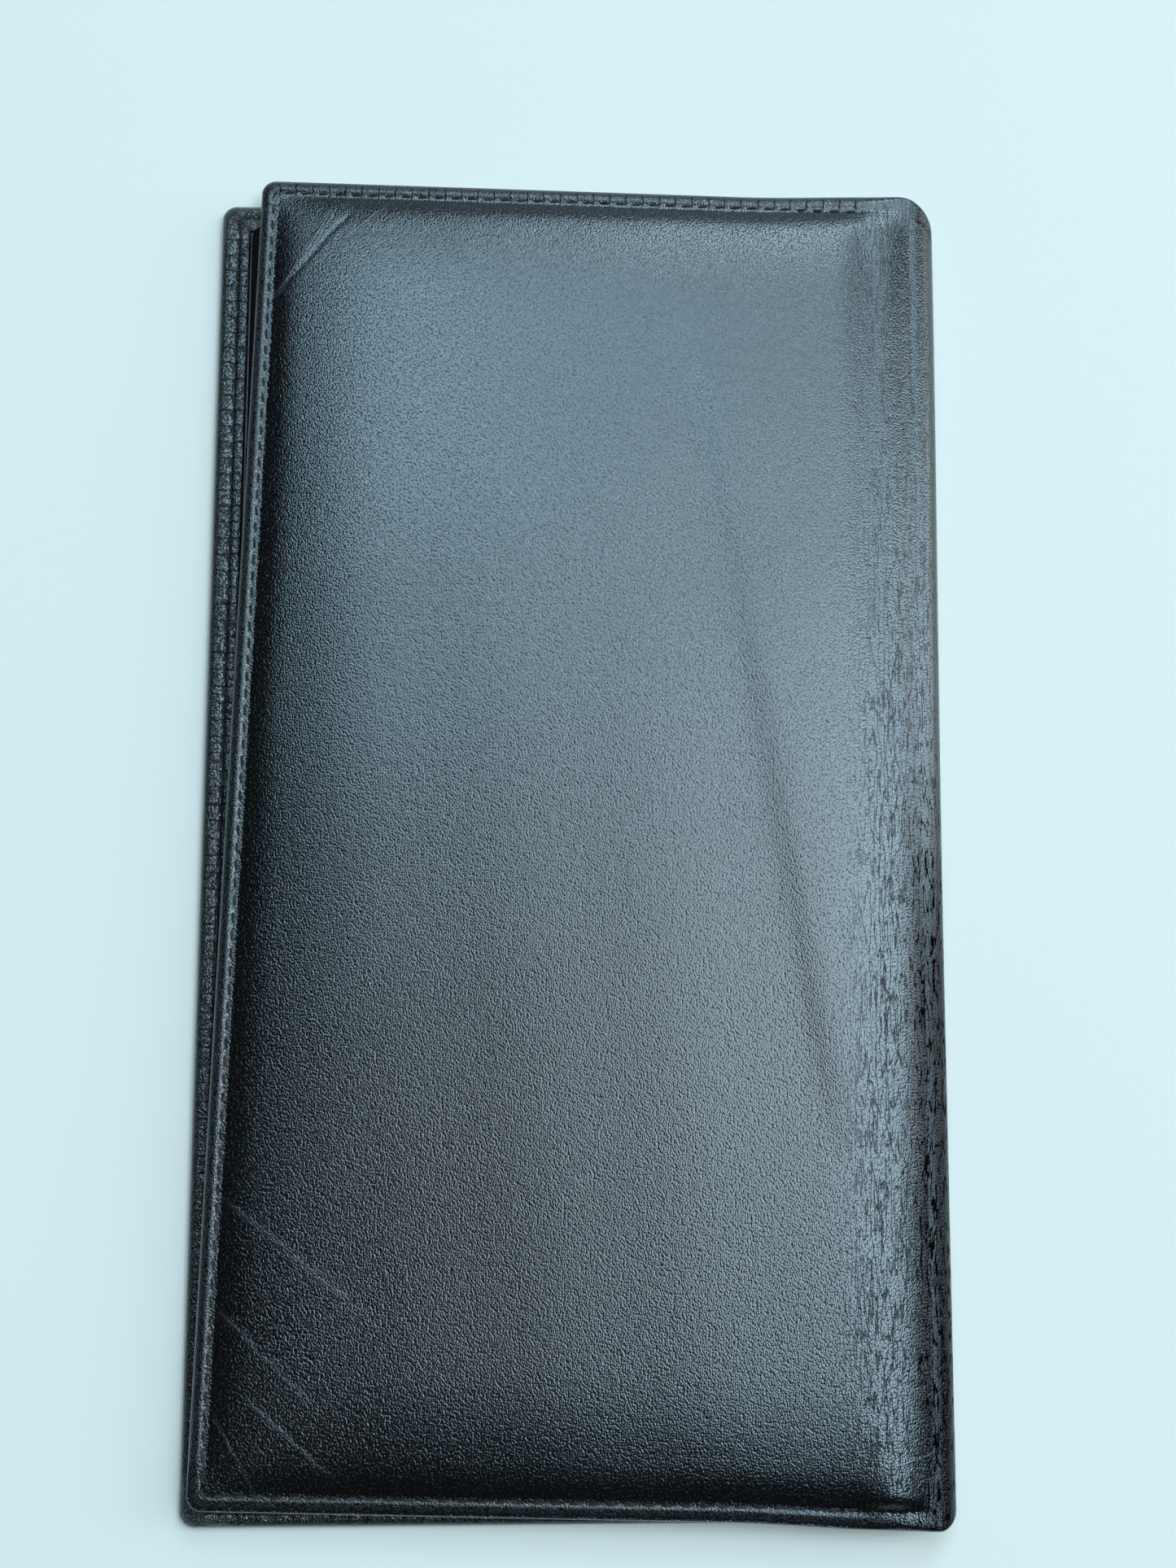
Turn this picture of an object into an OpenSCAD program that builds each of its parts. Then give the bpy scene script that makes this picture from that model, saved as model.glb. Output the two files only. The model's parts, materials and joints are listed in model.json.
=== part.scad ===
// Tall bifold card holder in black leather, closed and lying on its back cover.
// The fold is at +X, the free edges at -X, the front cover is up, and the height runs along Y.

/* [Covers] */
// Height of the covers, along the fold
cover_h = 177.5; // [165:0.5:200]
// Width of the front cover, from its free edge to the outside of the fold
front_w = 95; // [94:0.5:110]
// How far the back cover reaches past the front cover's free edge
back_reach = 3.5; // [2.5:0.1:6]
// Radius of the covers' free corners
corner_r = 3; // [2.5:0.1:5]
// Rise of the padded front above its stitched margin
front_rise = 2; // [0.5:0.1:3]
// Width of the flat stitched margin of the front
margin_w = 4.5; // [4:0.1:8]
// Width of the slope from the margin up to the padded field
slope_w = 13; // [8:0.5:20]
// Flat strip of the front beside the fold
fold_margin = 1; // [0.5:0.1:4]

/* [Fold] */
// Lean of the fold line from square, which turns the front cover on the back cover
fold_lean = 0.75; // [0:0.05:1.5]
// Angle from the middle of the spine to each hinge line
spine_half_arc = 45; // [35:1:55]
// Gap between the spine's leather and each cover's leather
hinge_gap = 0.3; // [0.2:0.05:0.5]
// How far the spine's ends stop short of the covers' ends
spine_end_inset = 0.5; // [0.3:0.1:2]

/* [Leather] */
// Thickness of the outer leather
leather_t = 0.8; // [0.7:0.05:1.2]
// Thickness of the skived hem
hem_t = 0.4; // [0.4:0.05:0.8]
// Width of the hem that shows on the inner side
hem_w = 3.3; // [2.8:0.1:6]

/* [Linings] */
// Thickness of the stiffener boards
stiffener_t = 0.35; // [0.3:0.05:0.8]
// Thickness of the lining fabric
lining_t = 0.15; // [0.1:0.05:0.4]
// Room left in a flat pocket for notes and slips
pocket_slack = 0.1; // [0.1:0.05:0.5]
// Thickness of the leather of the inner panels
panel_t = 0.25; // [0.2:0.05:0.5]
// Side clearance of a sheet inside the hem
sheet_clear = 0.1; // [0.05:0.05:0.3]
// Distance of the linings from the middle of the fold
lining_gutter = 1; // [0.5:0.1:2]

/* [Card slots] */
// Number of card slots
slot_count = 5; // [3:1:6]
// Length of one leaf, from its mouth to its sewn foot
leaf_len = 46; // [40:0.5:54]
// Thickness of a leaf
leaf_t = 0.3; // [0.25:0.05:0.5]
// Clear depth of one slot, for a card
slot_depth = 0.8; // [0.78:0.02:1.2]
// Width of the welt under each end of a leaf
welt_w = 1.5; // [1:0.1:1.6]
// Distance of the leaves from the middle of the fold
leaf_gutter = 2.4; // [2.2:0.1:3]
// Clearance between the leaves and the hem around them
leaf_clear = 0.3; // [0.1:0.05:0.5]
// Clearance between the closed front page and the card leaves
page_clear = 0.25; // [0.2:0.05:1]

/* [Front page] */
// Distance of the slip pocket's mouth from the middle of the fold
slip_gutter = 9; // [4:0.5:15]
// Height of the ticket pocket
ticket_h = 98; // [60:1:120]
// Distance of the ticket pocket's side from the middle of the fold
ticket_gutter = 10.5; // [10:0.5:20]
// Room in the ticket pocket
ticket_slack = 0.1; // [0.05:0.01:0.12]
// Radius of the ticket pocket's thumb notch
notch_r = 9; // [5:0.5:14]

/* [Stitching] */
// Distance of the seam from the free edges
stitch_inset = 2; // [1.9:0.1:2.4]
// Width of the thread
thread_w = 0.5; // [0.3:0.05:0.6]
// Depth of the groove that the thread lies in
thread_t = 0.25; // [0.15:0.05:0.3]
// How far the thread lies below the outer face of the leather
thread_sink = 0.1; // [0.05:0.01:0.12]
// Distance of the seam's end from the middle of the fold
seam_gutter = 5; // [3:0.5:12]

/* [Hidden] */
$fn = 48;
// Overshoot of a cutting shape
cut = 1;
// How far the padded block's slopes run on below the face that they rise from
bury = 0.1;
// How much thicker a cover's leather is at its fold lip
lip_extra = 0.1;
// Room that a cutting block needs to pass the whole holder
far = cover_h + front_w;

// Levels of one cover, counted from its outer face inwards
stiffener_z = leather_t;
lining_z = stiffener_z + stiffener_t;
panel_z = lining_z + lining_t + pocket_slack;
hem_z = panel_z + panel_t;
cover_t = hem_z + hem_t;
edge_r = cover_t / 2;

// Card bank: the leaves are shingles, each a card and a leaf higher than the one behind it
bank_h = cover_h - 2 * (hem_w + leaf_clear);
slot_pitch = (bank_h - leaf_len) / (slot_count - 1);
leaf_slope = (slot_depth + leaf_t) / slot_pitch;
leaf_rise = leaf_len * leaf_slope;
bank_top = hem_z + leaf_rise + leaf_t;

// Closed holder: height of the front's margin, and the round of the fold
closed_h = bank_top + page_clear + cover_t;
fold_r = closed_h / 2;
fold_in_r = fold_r - leather_t;
gap_angle = asin(hinge_gap / 2 / fold_r);
spine_l = cover_h - 2 * spine_end_inset;

// Cover widths from the free edge to the middle of the fold
front_half_w = front_w - fold_r;
back_half_w = front_half_w + back_reach;
leaf_w = back_half_w - hem_w - leaf_clear - leaf_gutter;

// Middle of the closed holder's box, which is the origin
turn = 2 * fold_lean;
mid_h = cover_h / 2;
front_low_x = (front_half_w - corner_r) * cos(turn) + (mid_h - corner_r) * sin(turn) + corner_r;
front_top_y = (front_half_w - corner_r) * sin(turn) + (mid_h - corner_r) * cos(turn) + corner_r;
fold_high_x = fold_r * cos(fold_lean) + spine_l / 2 * sin(fold_lean);
centre_x = (fold_high_x - max(back_half_w, front_low_x)) / 2;
centre_y = (front_top_y - mid_h) / 2;

// Hinge lines lie on the leather's outer face
hinge_x = fold_r * cos(spine_half_arc);
hinge_drop = fold_r * sin(spine_half_arc);
hinge_axis = [sin(fold_lean), cos(fold_lean), 0];
hinge_xy = [hinge_x * cos(fold_lean) - centre_x, -hinge_x * sin(fold_lean) - centre_y];
echo(lower_hinge = [hinge_xy[0], hinge_xy[1], fold_r - hinge_drop]);
echo(upper_hinge = [hinge_xy[0], hinge_xy[1], fold_r + hinge_drop]);
echo(hinge_axis = hinge_axis);
echo(size = [fold_high_x + max(back_half_w, front_low_x), front_top_y + mid_h, closed_h + front_rise]);
echo(slot_width = leaf_w - 2 * welt_w, slot_pitch = slot_pitch, closed_h = closed_h, fold_r = fold_r);

black_leather = [0.06, 0.06, 0.07];
page_leather = [0.10, 0.10, 0.11];
lining_cloth = [0.14, 0.14, 0.16];
board = [0.45, 0.38, 0.30];
felt = [0.35, 0.35, 0.36];
thread = [0.03, 0.03, 0.03];

// X of a line beside the fold at height y: lean is 1 on the back and -1 on the front
function beside_fold(y, lean, gutter) = lean * y * tan(fold_lean) - gutter / cos(fold_lean);

// Back pieces are drawn where they lie
module on_back() {
    translate([-centre_x, -centre_y, 0])
    children();
}

// Front pieces are drawn like back pieces, then turned face up and swung about the fold
module on_front() {
    translate([-centre_x, -centre_y, 0])
    rotate([0, 0, -turn])
    translate([0, 0, closed_h])
    mirror([0, 0, 1])
    children();
}

// Spine pieces are drawn with the fold's middle line along Y
module on_spine() {
    translate([-centre_x, -centre_y, fold_r])
    rotate([0, 0, -fold_lean])
    children();
}

// Outline of a cover, inset from its three free edges, up to a line beside the fold
module outline(w, lean, inset, gutter) {
    r = max(corner_r - inset, edge_r / 2);
    left = inset - w;
    top = mid_h - inset;
    polygon([
        [left, r - top],
        [left + r, -top],
        [beside_fold(-top, lean, gutter), -top],
        [beside_fold(top, lean, gutter), top],
        [left + r, top],
        [left, top - r]
    ]);
    for (side = [-1, 1])
        translate([left + r, side * (top - r)])
        circle(r);
}

// A flat sheet with the cover's outline
module sheet(w, lean, z, t, inset, gutter) {
    translate([0, 0, z])
    linear_extrude(t)
    outline(w, lean, inset, gutter);
}

// Section of a turned edge, from the middle of the corner round out to the edge
module edge_section() {
    square([corner_r - edge_r, cover_t]);
    translate([corner_r - edge_r, edge_r])
    circle(edge_r);
}

// A straight stretch of turned edge along Y, facing +X
module edge_strip(length) {
    rotate([90, 0, 0])
    linear_extrude(length, center = true)
    edge_section();
}

// Cover with its free edges turned to a half round, before it is hollowed
module turned_blank(w) {
    side_l = cover_h - 2 * corner_r;
    left = corner_r - w;
    translate([left, -side_l / 2, 0])
    cube([w, side_l, cover_t]);
    translate([left, 0, 0])
    rotate([0, 0, 180])
    edge_strip(side_l);
    for (side = [-1, 1]) {
        translate([left + w / 2, side * side_l / 2, 0])
        rotate([0, 0, side * 90])
        edge_strip(w);
        translate([left, side * side_l / 2, 0])
        rotate([0, 0, side > 0 ? 90 : 180])
        rotate_extrude(angle = 90)
        edge_section();
    }
}

// Space on the far side of the fold's middle line
module past_fold(lean) {
    rotate([0, 0, -lean * fold_lean])
    translate([0, -far / 2, -far / 2])
    cube(far);
}

// Part of a ring about the fold's middle, from one angle to another, 0 pointing outwards along X
module arc_strip(outer, inner, from, to) {
    reach = 2 * outer;
    intersection() {
        difference() {
            circle(outer);
            circle(inner);
        }
        polygon([
            [0, 0],
            reach * [cos(from), sin(from)],
            reach * [cos((from + to) / 2), sin((from + to) / 2)],
            reach * [cos(to), sin(to)]
        ]);
    }
}

// The cover leather's own share of the round at the fold
module fold_lip(lean) {
    intersection() {
        translate([0, 0, fold_r])
        rotate([0, 0, -lean * fold_lean])
        rotate([90, 0, 0])
        linear_extrude(cover_h + 2 * cut, center = true)
        arc_strip(fold_r, fold_in_r - lip_extra, -90, -spine_half_arc - gap_angle);
        translate([-far / 2, -mid_h, -far / 2])
        cube([far, cover_h, far]);
    }
}

// Seam line: a strip of the thread's width along the three free edges
module seam_line(w, lean) {
    difference() {
        outline(w, lean, stitch_inset - thread_w / 2, seam_gutter);
        outline(w, lean, stitch_inset + thread_w / 2, -far);
    }
}

// Grooves for the needle thread and the bobbin thread
module seam_grooves(w, lean) {
    for (z = [-cut, cover_t - thread_t])
        translate([0, 0, z])
        linear_extrude(thread_t + cut)
        seam_line(w, lean);
}

// Needle thread on the outer face and bobbin thread on the hem
module seam_threads(w, lean) {
    for (z = [thread_sink, cover_t - thread_t])
        translate([0, 0, z])
        linear_extrude(thread_t - thread_sink)
        seam_line(w, lean);
}

// Leather of one cover up to the fold: outer sheet and turned hem on three sides
module cover_leather(w, lean) {
    difference() {
        turned_blank(w);
        past_fold(lean);
        sheet(w, lean, leather_t, hem_z - leather_t, leather_t, -cut);
        sheet(w, lean, hem_z - cut, hem_t + 2 * cut, hem_w, -cut);
        seam_grooves(w, lean);
    }
}

// Padded field of the front: a low hipped block that rises outwards from z, its slopes running on a little below z
module padded_field(z) {
    run_on = bury * slope_w / front_rise;
    function ring(inset, level) = let (top = mid_h - margin_w - inset, left = margin_w + inset - front_half_w) [
        [left, -top, level],
        [beside_fold(-top, -1, fold_margin + inset), -top, level],
        [beside_fold(top, -1, fold_margin + inset), top, level],
        [left, top, level]
    ];
    polyhedron(
        points = concat(ring(-run_on, z + bury), ring(slope_w, z - front_rise)),
        faces = concat([[3, 2, 1, 0], [4, 5, 6, 7]], [for (i = [0:3]) let (j = (i + 1) % 4) [i, j, j + 4, i + 4]])
    );
}

module back_cover_leather() {
    color(black_leather)
    on_back() {
        cover_leather(back_half_w, 1);
        fold_lip(1);
    }
}

module back_stiffener() {
    color(board)
    on_back()
    sheet(back_half_w, 1, stiffener_z, stiffener_t, leather_t + sheet_clear, lining_gutter);
}

module back_lining() {
    color(lining_cloth)
    on_back()
    sheet(back_half_w, 1, lining_z, lining_t, leather_t + sheet_clear, lining_gutter);
}

module card_base_panel() {
    color(page_leather)
    on_back()
    sheet(back_half_w, 1, panel_z, panel_t, leather_t + sheet_clear, leaf_gutter);
}

// Leaf i counts from the bottom of the bank; its foot lies on the base panel
function leaf_foot(i) = -bank_h / 2 + (i - 1) * slot_pitch;

// A stretch of a leaf, from one distance above its foot to another, drawn in at both ends
module leaf_stretch(from, to, side_inset) {
    translate([side_inset, 0, 0])
    rotate([90, 0, 90])
    linear_extrude(leaf_w - 2 * side_inset)
    polygon([
        [from, from * leaf_slope],
        [to, to * leaf_slope],
        [to, to * leaf_slope + leaf_t],
        [from, from * leaf_slope + leaf_t]
    ]);
}

// A leaf is a T: arms on the welts beside its mouth, and a stem between the welts of the next leaf down
module card_leaf(i) {
    arms = leaf_len - slot_pitch;
    color(page_leather)
    on_back()
    translate([-leaf_gutter - leaf_w, leaf_foot(i), hem_z]) {
        leaf_stretch(arms, leaf_len, 0);
        leaf_stretch(0, arms, i == 1 ? 0 : welt_w + sheet_clear);
    }
}

// Welt under the leaves' ends: a saw-tooth strip, one tooth to each leaf's arms
module pocket_welt(x) {
    tooth_low = leaf_rise - slot_pitch * leaf_slope;
    teeth = [for (i = [1:slot_count]) let (mouth = leaf_foot(i) + leaf_len) each [
        i == 1 ? [leaf_foot(i), 0] : [mouth - slot_pitch, tooth_low],
        [mouth, leaf_rise]
    ]];
    color(page_leather)
    on_back()
    translate([x, 0, hem_z])
    rotate([90, 0, 90])
    linear_extrude(welt_w)
    polygon(concat(teeth, [[leaf_foot(slot_count) + leaf_len, 0]]));
}

module pocket_welt_left() {
    pocket_welt(-leaf_gutter - leaf_w);
}

module pocket_welt_right() {
    pocket_welt(-leaf_gutter - welt_w);
}

module back_stitching() {
    color(thread)
    on_back()
    seam_threads(back_half_w, 1);
}

module spine_strip(outer, t, length) {
    arc = spine_half_arc - gap_angle;
    on_spine()
    rotate([90, 0, 0])
    linear_extrude(length, center = true)
    arc_strip(outer, outer - t, -arc, arc);
}

module spine_leather() {
    color(black_leather)
    spine_strip(fold_r, leather_t, spine_l);
}

module spine_lining() {
    color(lining_cloth)
    spine_strip(fold_in_r, lining_t, spine_l - 2 * hem_w);
}

module front_cover_leather() {
    color(black_leather)
    on_front() {
        difference() {
            union() {
                cover_leather(front_half_w, -1);
                padded_field(0);
            }
            padded_field(leather_t);
        }
        fold_lip(-1);
    }
}

module front_padding() {
    color(felt)
    on_front()
    intersection() {
        padded_field(leather_t);
        translate([-far / 2, -far / 2, leather_t - far])
        cube(far);
    }
}

module front_stiffener() {
    color(board)
    on_front()
    sheet(front_half_w, -1, stiffener_z, stiffener_t, leather_t + sheet_clear, lining_gutter);
}

module front_lining() {
    color(lining_cloth)
    on_front()
    sheet(front_half_w, -1, lining_z, lining_t, leather_t + sheet_clear, lining_gutter);
}

module slip_pocket_panel() {
    color(page_leather)
    on_front()
    sheet(front_half_w, -1, panel_z, panel_t, leather_t + sheet_clear, slip_gutter);
}

// Outline of the ticket pocket inside the hem, drawn in by an inset, with a notch at its mouth
module ticket_outline(inset) {
    edge = hem_w + sheet_clear;
    left = edge - front_half_w;
    right = -ticket_gutter;
    difference() {
        translate([left + inset, edge - mid_h + inset])
        square([right - left - 2 * inset, ticket_h - inset]);
        translate([(left + right) / 2, edge - mid_h + ticket_h])
        circle(notch_r);
    }
}

// Seam of the ticket pocket, along its two sides and its foot
module ticket_seam() {
    difference() {
        ticket_outline(stitch_inset - thread_w / 2);
        translate([0, cut])
        ticket_outline(stitch_inset + thread_w / 2);
        ticket_outline(stitch_inset + thread_w / 2);
    }
}

module ticket_pocket_panel() {
    color(page_leather)
    on_front()
    difference() {
        translate([0, 0, hem_z + ticket_slack])
        linear_extrude(panel_t)
        ticket_outline(0);
        translate([0, 0, hem_z + ticket_slack + panel_t - thread_t / 2])
        linear_extrude(thread_t)
        ticket_seam();
    }
}

module ticket_pocket_stitching() {
    color(thread)
    on_front()
    translate([0, 0, hem_z + ticket_slack + panel_t - thread_t / 2])
    linear_extrude(thread_t / 2)
    ticket_seam();
}

module front_stitching() {
    color(thread)
    on_front()
    seam_threads(front_half_w, -1);
}

back_cover_leather();
back_stiffener();
back_lining();
card_base_panel();
for (i = [1:slot_count]) card_leaf(i);
pocket_welt_left();
pocket_welt_right();
back_stitching();
spine_leather();
spine_lining();
front_cover_leather();
front_padding();
front_stiffener();
front_lining();
slip_pocket_panel();
ticket_pocket_panel();
ticket_pocket_stitching();
front_stitching();
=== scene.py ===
"""Looks of a tall black leather card holder, lying closed on its back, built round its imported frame.

Sizes in the classes are millimetres, and turn into metres where points are placed in the row frame.
A cover has coordinates of its own: u runs across from the free edge to the fold, v up the cover, and
depth in from the outer face.
"""

import json
import logging
import math
from dataclasses import dataclass, field
from enum import Enum
from functools import partialmethod
from typing import Callable, Optional, Sequence, Union

import bmesh
import bpy
import numpy as np
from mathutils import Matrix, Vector


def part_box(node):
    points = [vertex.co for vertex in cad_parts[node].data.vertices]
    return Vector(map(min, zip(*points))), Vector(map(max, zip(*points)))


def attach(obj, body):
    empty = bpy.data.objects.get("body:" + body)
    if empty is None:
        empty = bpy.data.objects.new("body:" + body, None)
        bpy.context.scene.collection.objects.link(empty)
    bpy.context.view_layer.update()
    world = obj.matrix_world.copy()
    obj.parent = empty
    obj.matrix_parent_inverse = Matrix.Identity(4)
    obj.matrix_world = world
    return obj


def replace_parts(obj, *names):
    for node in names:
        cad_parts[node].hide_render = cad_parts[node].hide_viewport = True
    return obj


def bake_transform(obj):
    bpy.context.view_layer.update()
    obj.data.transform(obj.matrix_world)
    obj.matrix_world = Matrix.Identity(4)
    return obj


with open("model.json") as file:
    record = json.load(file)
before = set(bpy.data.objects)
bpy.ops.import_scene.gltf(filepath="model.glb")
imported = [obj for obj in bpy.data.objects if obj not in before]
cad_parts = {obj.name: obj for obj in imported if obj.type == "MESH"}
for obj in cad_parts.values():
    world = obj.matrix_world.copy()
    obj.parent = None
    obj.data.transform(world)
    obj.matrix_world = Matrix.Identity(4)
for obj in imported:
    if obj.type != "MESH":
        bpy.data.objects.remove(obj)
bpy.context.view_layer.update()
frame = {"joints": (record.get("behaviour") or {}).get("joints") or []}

LOG = logging.getLogger("card_holder")
MM = 0.001
SHARP_DEG = 42.0
FRONT_SET_BACK = 3.5

Array = np.ndarray
Socket = bpy.types.NodeSocket
Tree = bpy.types.NodeTree
Node = bpy.types.Node
Material = bpy.types.Material
Piece = bpy.types.Object
Feed = Union[Socket, float, tuple]
Triple = tuple[float, float, float]


class Side(Enum):
    """Which half of the holder a piece belongs to, by the name of its CAD body."""

    BACK = "back_half"
    FRONT = "front_half"


class Slot(Enum):
    """Material slots of the record. Sheets are given one, but nothing reads it."""

    OUTER = "outer_leather"
    PAGE = "page_leather"
    LINING = "lining"
    BOARD = "stiffener"
    PADDING = "padding"
    THREAD = "thread"


# Shape helpers


def ease(x: Array, low: float, high: float) -> Array:
    """Smooth step: 0 up to low, 1 from high, a cubic with level ends between them.

    Args:
        x: values to map.
        low: value at which the step starts, which may be above high.
        high: value at which it ends.

    Returns:
        The step's values, from 0 to 1.
    """
    t = np.clip((np.asarray(x, float) - low) / (high - low), 0.0, 1.0)
    return t * t * (3.0 - 2.0 * t)


def bell(x: Array, centre: float, width: float) -> Array:
    """Bell curve of height 1 round a centre, falling to 1/e at the width."""
    return np.exp(-(((np.asarray(x, float) - centre) / width) ** 2))


def waves(x: Array, y: Array, seed: int, lengths: Sequence[float]) -> Array:
    """Slow unevenness: a sum of plane sine waves in seeded directions, scaled to a height of about 1.

    Args:
        x: first coordinate.
        y: second coordinate.
        seed: seed of the directions and phases.
        lengths: wavelength of each wave, in the unit of x and y.

    Returns:
        The sum at each point.
    """
    rng = np.random.default_rng(seed)
    turn = rng.uniform(0, math.tau, len(lengths))
    phase = rng.uniform(0, math.tau, len(lengths))
    total = np.zeros(np.broadcast(x, y).shape)
    for length, a, p in zip(lengths, turn, phase):
        total = total + np.sin((x * math.cos(a) + y * math.sin(a)) * math.tau / length + p)
    return total / math.sqrt(len(lengths))


def lines(low: float, high: float, step: float, fine: Sequence[float] = ()) -> Array:
    """Grid lines from low to high, close together at both ends.

    Args:
        low: first line.
        high: last line.
        step: largest spacing of the lines between the ends.
        fine: insets of extra lines at both ends, smallest first.

    Returns:
        The lines in order.
    """
    inset = fine[-1] if fine else 0.0
    count = max(2, int(math.ceil((high - low - 2 * inset) / step)) + 1)
    middle = np.linspace(low + inset, high - inset, count)
    near = low + np.concatenate([[0.0], np.asarray(fine[:-1], float)]) if fine else np.zeros(0)
    far = (high + low) - near[::-1]
    return np.concatenate([near, middle, far])


def grid_faces(columns: int, rows: int) -> Array:
    """Corner indices of the quads of a grid whose point (i, j) has the index i * rows + j.

    Args:
        columns: number of columns of points.
        rows: number of points in a column.

    Returns:
        n by 4 indices.
    """
    i, j = np.meshgrid(np.arange(columns - 1), np.arange(rows - 1), indexing="ij")
    a = (i * rows + j).ravel()
    return np.stack([a, a + rows, a + rows + 1, a + 1], axis=1)


def clear_rim(values: Array) -> Array:
    """A grid's values with 0 along its rim."""
    values[0], values[-1], values[:, 0], values[:, -1] = 0.0, 0.0, 0.0, 0.0
    return values


def path_way(points: Array) -> Array:
    """Way along a path of n by 2 points, from 0 at its start."""
    return np.concatenate([[0.0], np.cumsum(np.hypot(*np.diff(points, axis=0).T))])


def on_path(points: Array, way: Array, at: Array) -> Array:
    """Points of a path at given ways along it."""
    return np.stack([np.interp(at, way, points[:, k]) for k in (0, 1)], axis=1)


def box_mm(node: str) -> tuple[Array, Array]:
    """Lowest and highest corner of a CAD node at rest, in millimetres."""
    low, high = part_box(node)
    return np.array(low) / MM, np.array(high) / MM


def make_piece(
    name: str,
    points: Array,
    faces: Union[Array, list],
    finish: Material,
    attributes: Optional[dict[str, Array]] = None,
) -> Piece:
    """Puts points and faces into a new piece at the origin, with faces outward and smooth shading.

    Args:
        name: name of the piece.
        points: n by 3 points in the row frame, in metres.
        faces: corner indices of each face.
        finish: the piece's material.
        attributes: n by 3 values by name, kept on the points for the material.

    Returns:
        The new object, in the scene.
    """
    mesh = bpy.data.meshes.new(name)
    listed = faces.tolist() if isinstance(faces, np.ndarray) else faces
    mesh.from_pydata(np.asarray(points, float).tolist(), [], listed)
    for key, values in (attributes or {}).items():
        layer = mesh.attributes.new(key, "FLOAT_VECTOR", "POINT")
        layer.data.foreach_set("vector", np.asarray(values, np.float32).ravel())
    shell = bmesh.new()
    shell.from_mesh(mesh)
    bmesh.ops.recalc_face_normals(shell, faces=shell.faces[:])
    shell.to_mesh(mesh)
    shell.free()
    mesh.polygons.foreach_set("use_smooth", np.ones(len(mesh.polygons), bool))
    mesh.set_sharp_from_angle(angle=math.radians(SHARP_DEG))
    mesh.materials.append(finish)
    piece = bpy.data.objects.new(name, mesh)
    bpy.context.scene.collection.objects.link(piece)
    LOG.info("%s: %d points, %d faces", name, len(mesh.vertices), len(mesh.polygons))
    return piece


def slab(outer: Array, inner: Array) -> tuple[Array, Array]:
    """A closed thin piece from two grids that meet along their shared rim.

    Args:
        outer: columns by rows by 3 points of one face.
        inner: the same for the other face, equal to the first along the rim.

    Returns:
        Its points and its quads.
    """
    columns, rows = outer.shape[:2]
    index = np.arange(columns * rows).reshape(columns, rows)
    other = index + columns * rows
    other[0], other[-1], other[:, 0], other[:, -1] = index[0], index[-1], index[:, 0], index[:, -1]
    quads = grid_faces(columns, rows)
    faces = np.concatenate([quads, other.ravel()[quads][:, ::-1]])
    used, renumbered = np.unique(faces, return_inverse=True)
    points = np.concatenate([outer.reshape(-1, 3), inner.reshape(-1, 3)])[used]
    return points, renumbered.reshape(-1, 4)


@dataclass(frozen=True)
class Stitch:
    """One stitch: a tube of rings that is thickest in its middle and dives into the leather at its ends.

    With t from -1 to 1 along the stitch, its half width is the thread's times the root of 1 - 0.75 t^2, and
    its middle line stands proud by the rise less the dive times t^4. It is pressed to a share of its height.
    """

    length: float = 1.75
    thread: float = 0.38
    pressed: float = 0.8
    rise: float = 0.06
    dive: float = 0.26
    rings: int = 7
    sides: int = 6

    def row(self, at: Array, run: Array) -> tuple[Array, Array, Array, list]:
        """A row of stitches.

        Args:
            at: n by 2 middles of the stitches.
            run: n by 2 directions of the stitches.

        Returns:
            The places u and v of the stitches' points, a stitch's heights above the leather, and all faces.
        """
        t = np.linspace(-1.0, 1.0, self.rings)
        turn = np.linspace(0.0, math.tau, self.sides, endpoint=False)
        body = self.thread / 2 * np.sqrt(1.0 - 0.75 * t**2)
        x = np.broadcast_to((t * self.length / 2)[:, None], (self.rings, self.sides))
        y = body[:, None] * np.cos(turn)
        height = body[:, None] * np.sin(turn) * self.pressed + (self.rise - self.dive * t**4)[:, None]
        (run_u, run_v), (at_u, at_v) = run.T[..., None, None], at.T[..., None, None]
        side = np.arange(self.sides)
        beside = (side + 1) % self.sides
        ring = np.arange(self.rings - 1)[:, None] * self.sides
        after = ring + self.sides
        quads = np.stack([ring + side, ring + beside, after + beside, after + side], axis=-1).reshape(-1, 4)
        start = np.arange(len(at))[:, None, None] * self.rings * self.sides
        caps = np.stack([side[::-1], side + (self.rings - 1) * self.sides]) + start
        faces = (quads + start).reshape(-1, 4).tolist() + caps.reshape(-1, self.sides).tolist()
        return at_u + run_u * x - run_v * y, at_v + run_v * x + run_u * y, height, faces


# The holder's frame of reference


@dataclass(frozen=True)
class Fold:
    """The fold that both covers turn on: a roll of leather round a line that leans a little from upright.

    Its radius, lean and middle come from the two hinge lines, which lie on the roll 45 degrees up and down.
    """

    lean: float
    radius: float
    x: float
    y: float

    @classmethod
    def from_hinges(cls, joints: list) -> "Fold":
        """Reads the fold from the frame's two hinges.

        Args:
            joints: the frame's joints, lower hinge first.

        Returns:
            The fold, in millimetres.
        """
        low, high = (np.array(j["pos_m"]) / MM for j in joints)
        axis = joints[0]["axis"]
        lean = math.atan2(axis[0], axis[1])
        radius = (high[2] - low[2]) / math.sqrt(2.0)
        out = radius / math.sqrt(2.0)
        return cls(lean, radius, low[0] - out * math.cos(lean), low[1] + out * math.sin(lean))

    def on_roll(self, out: Array, along: Array, height: Array) -> Array:
        """Points round the fold line.

        Args:
            out: distance out of the line.
            along: distance along it.
            height: height above the table.

        Returns:
            Row-frame points in metres, with a last axis of 3.
        """
        c, s = math.cos(self.lean), math.sin(self.lean)
        x = out * c + along * s + self.x
        y = along * c - out * s + self.y
        return np.stack(np.broadcast_arrays(x, y, height), axis=-1) * MM


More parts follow.
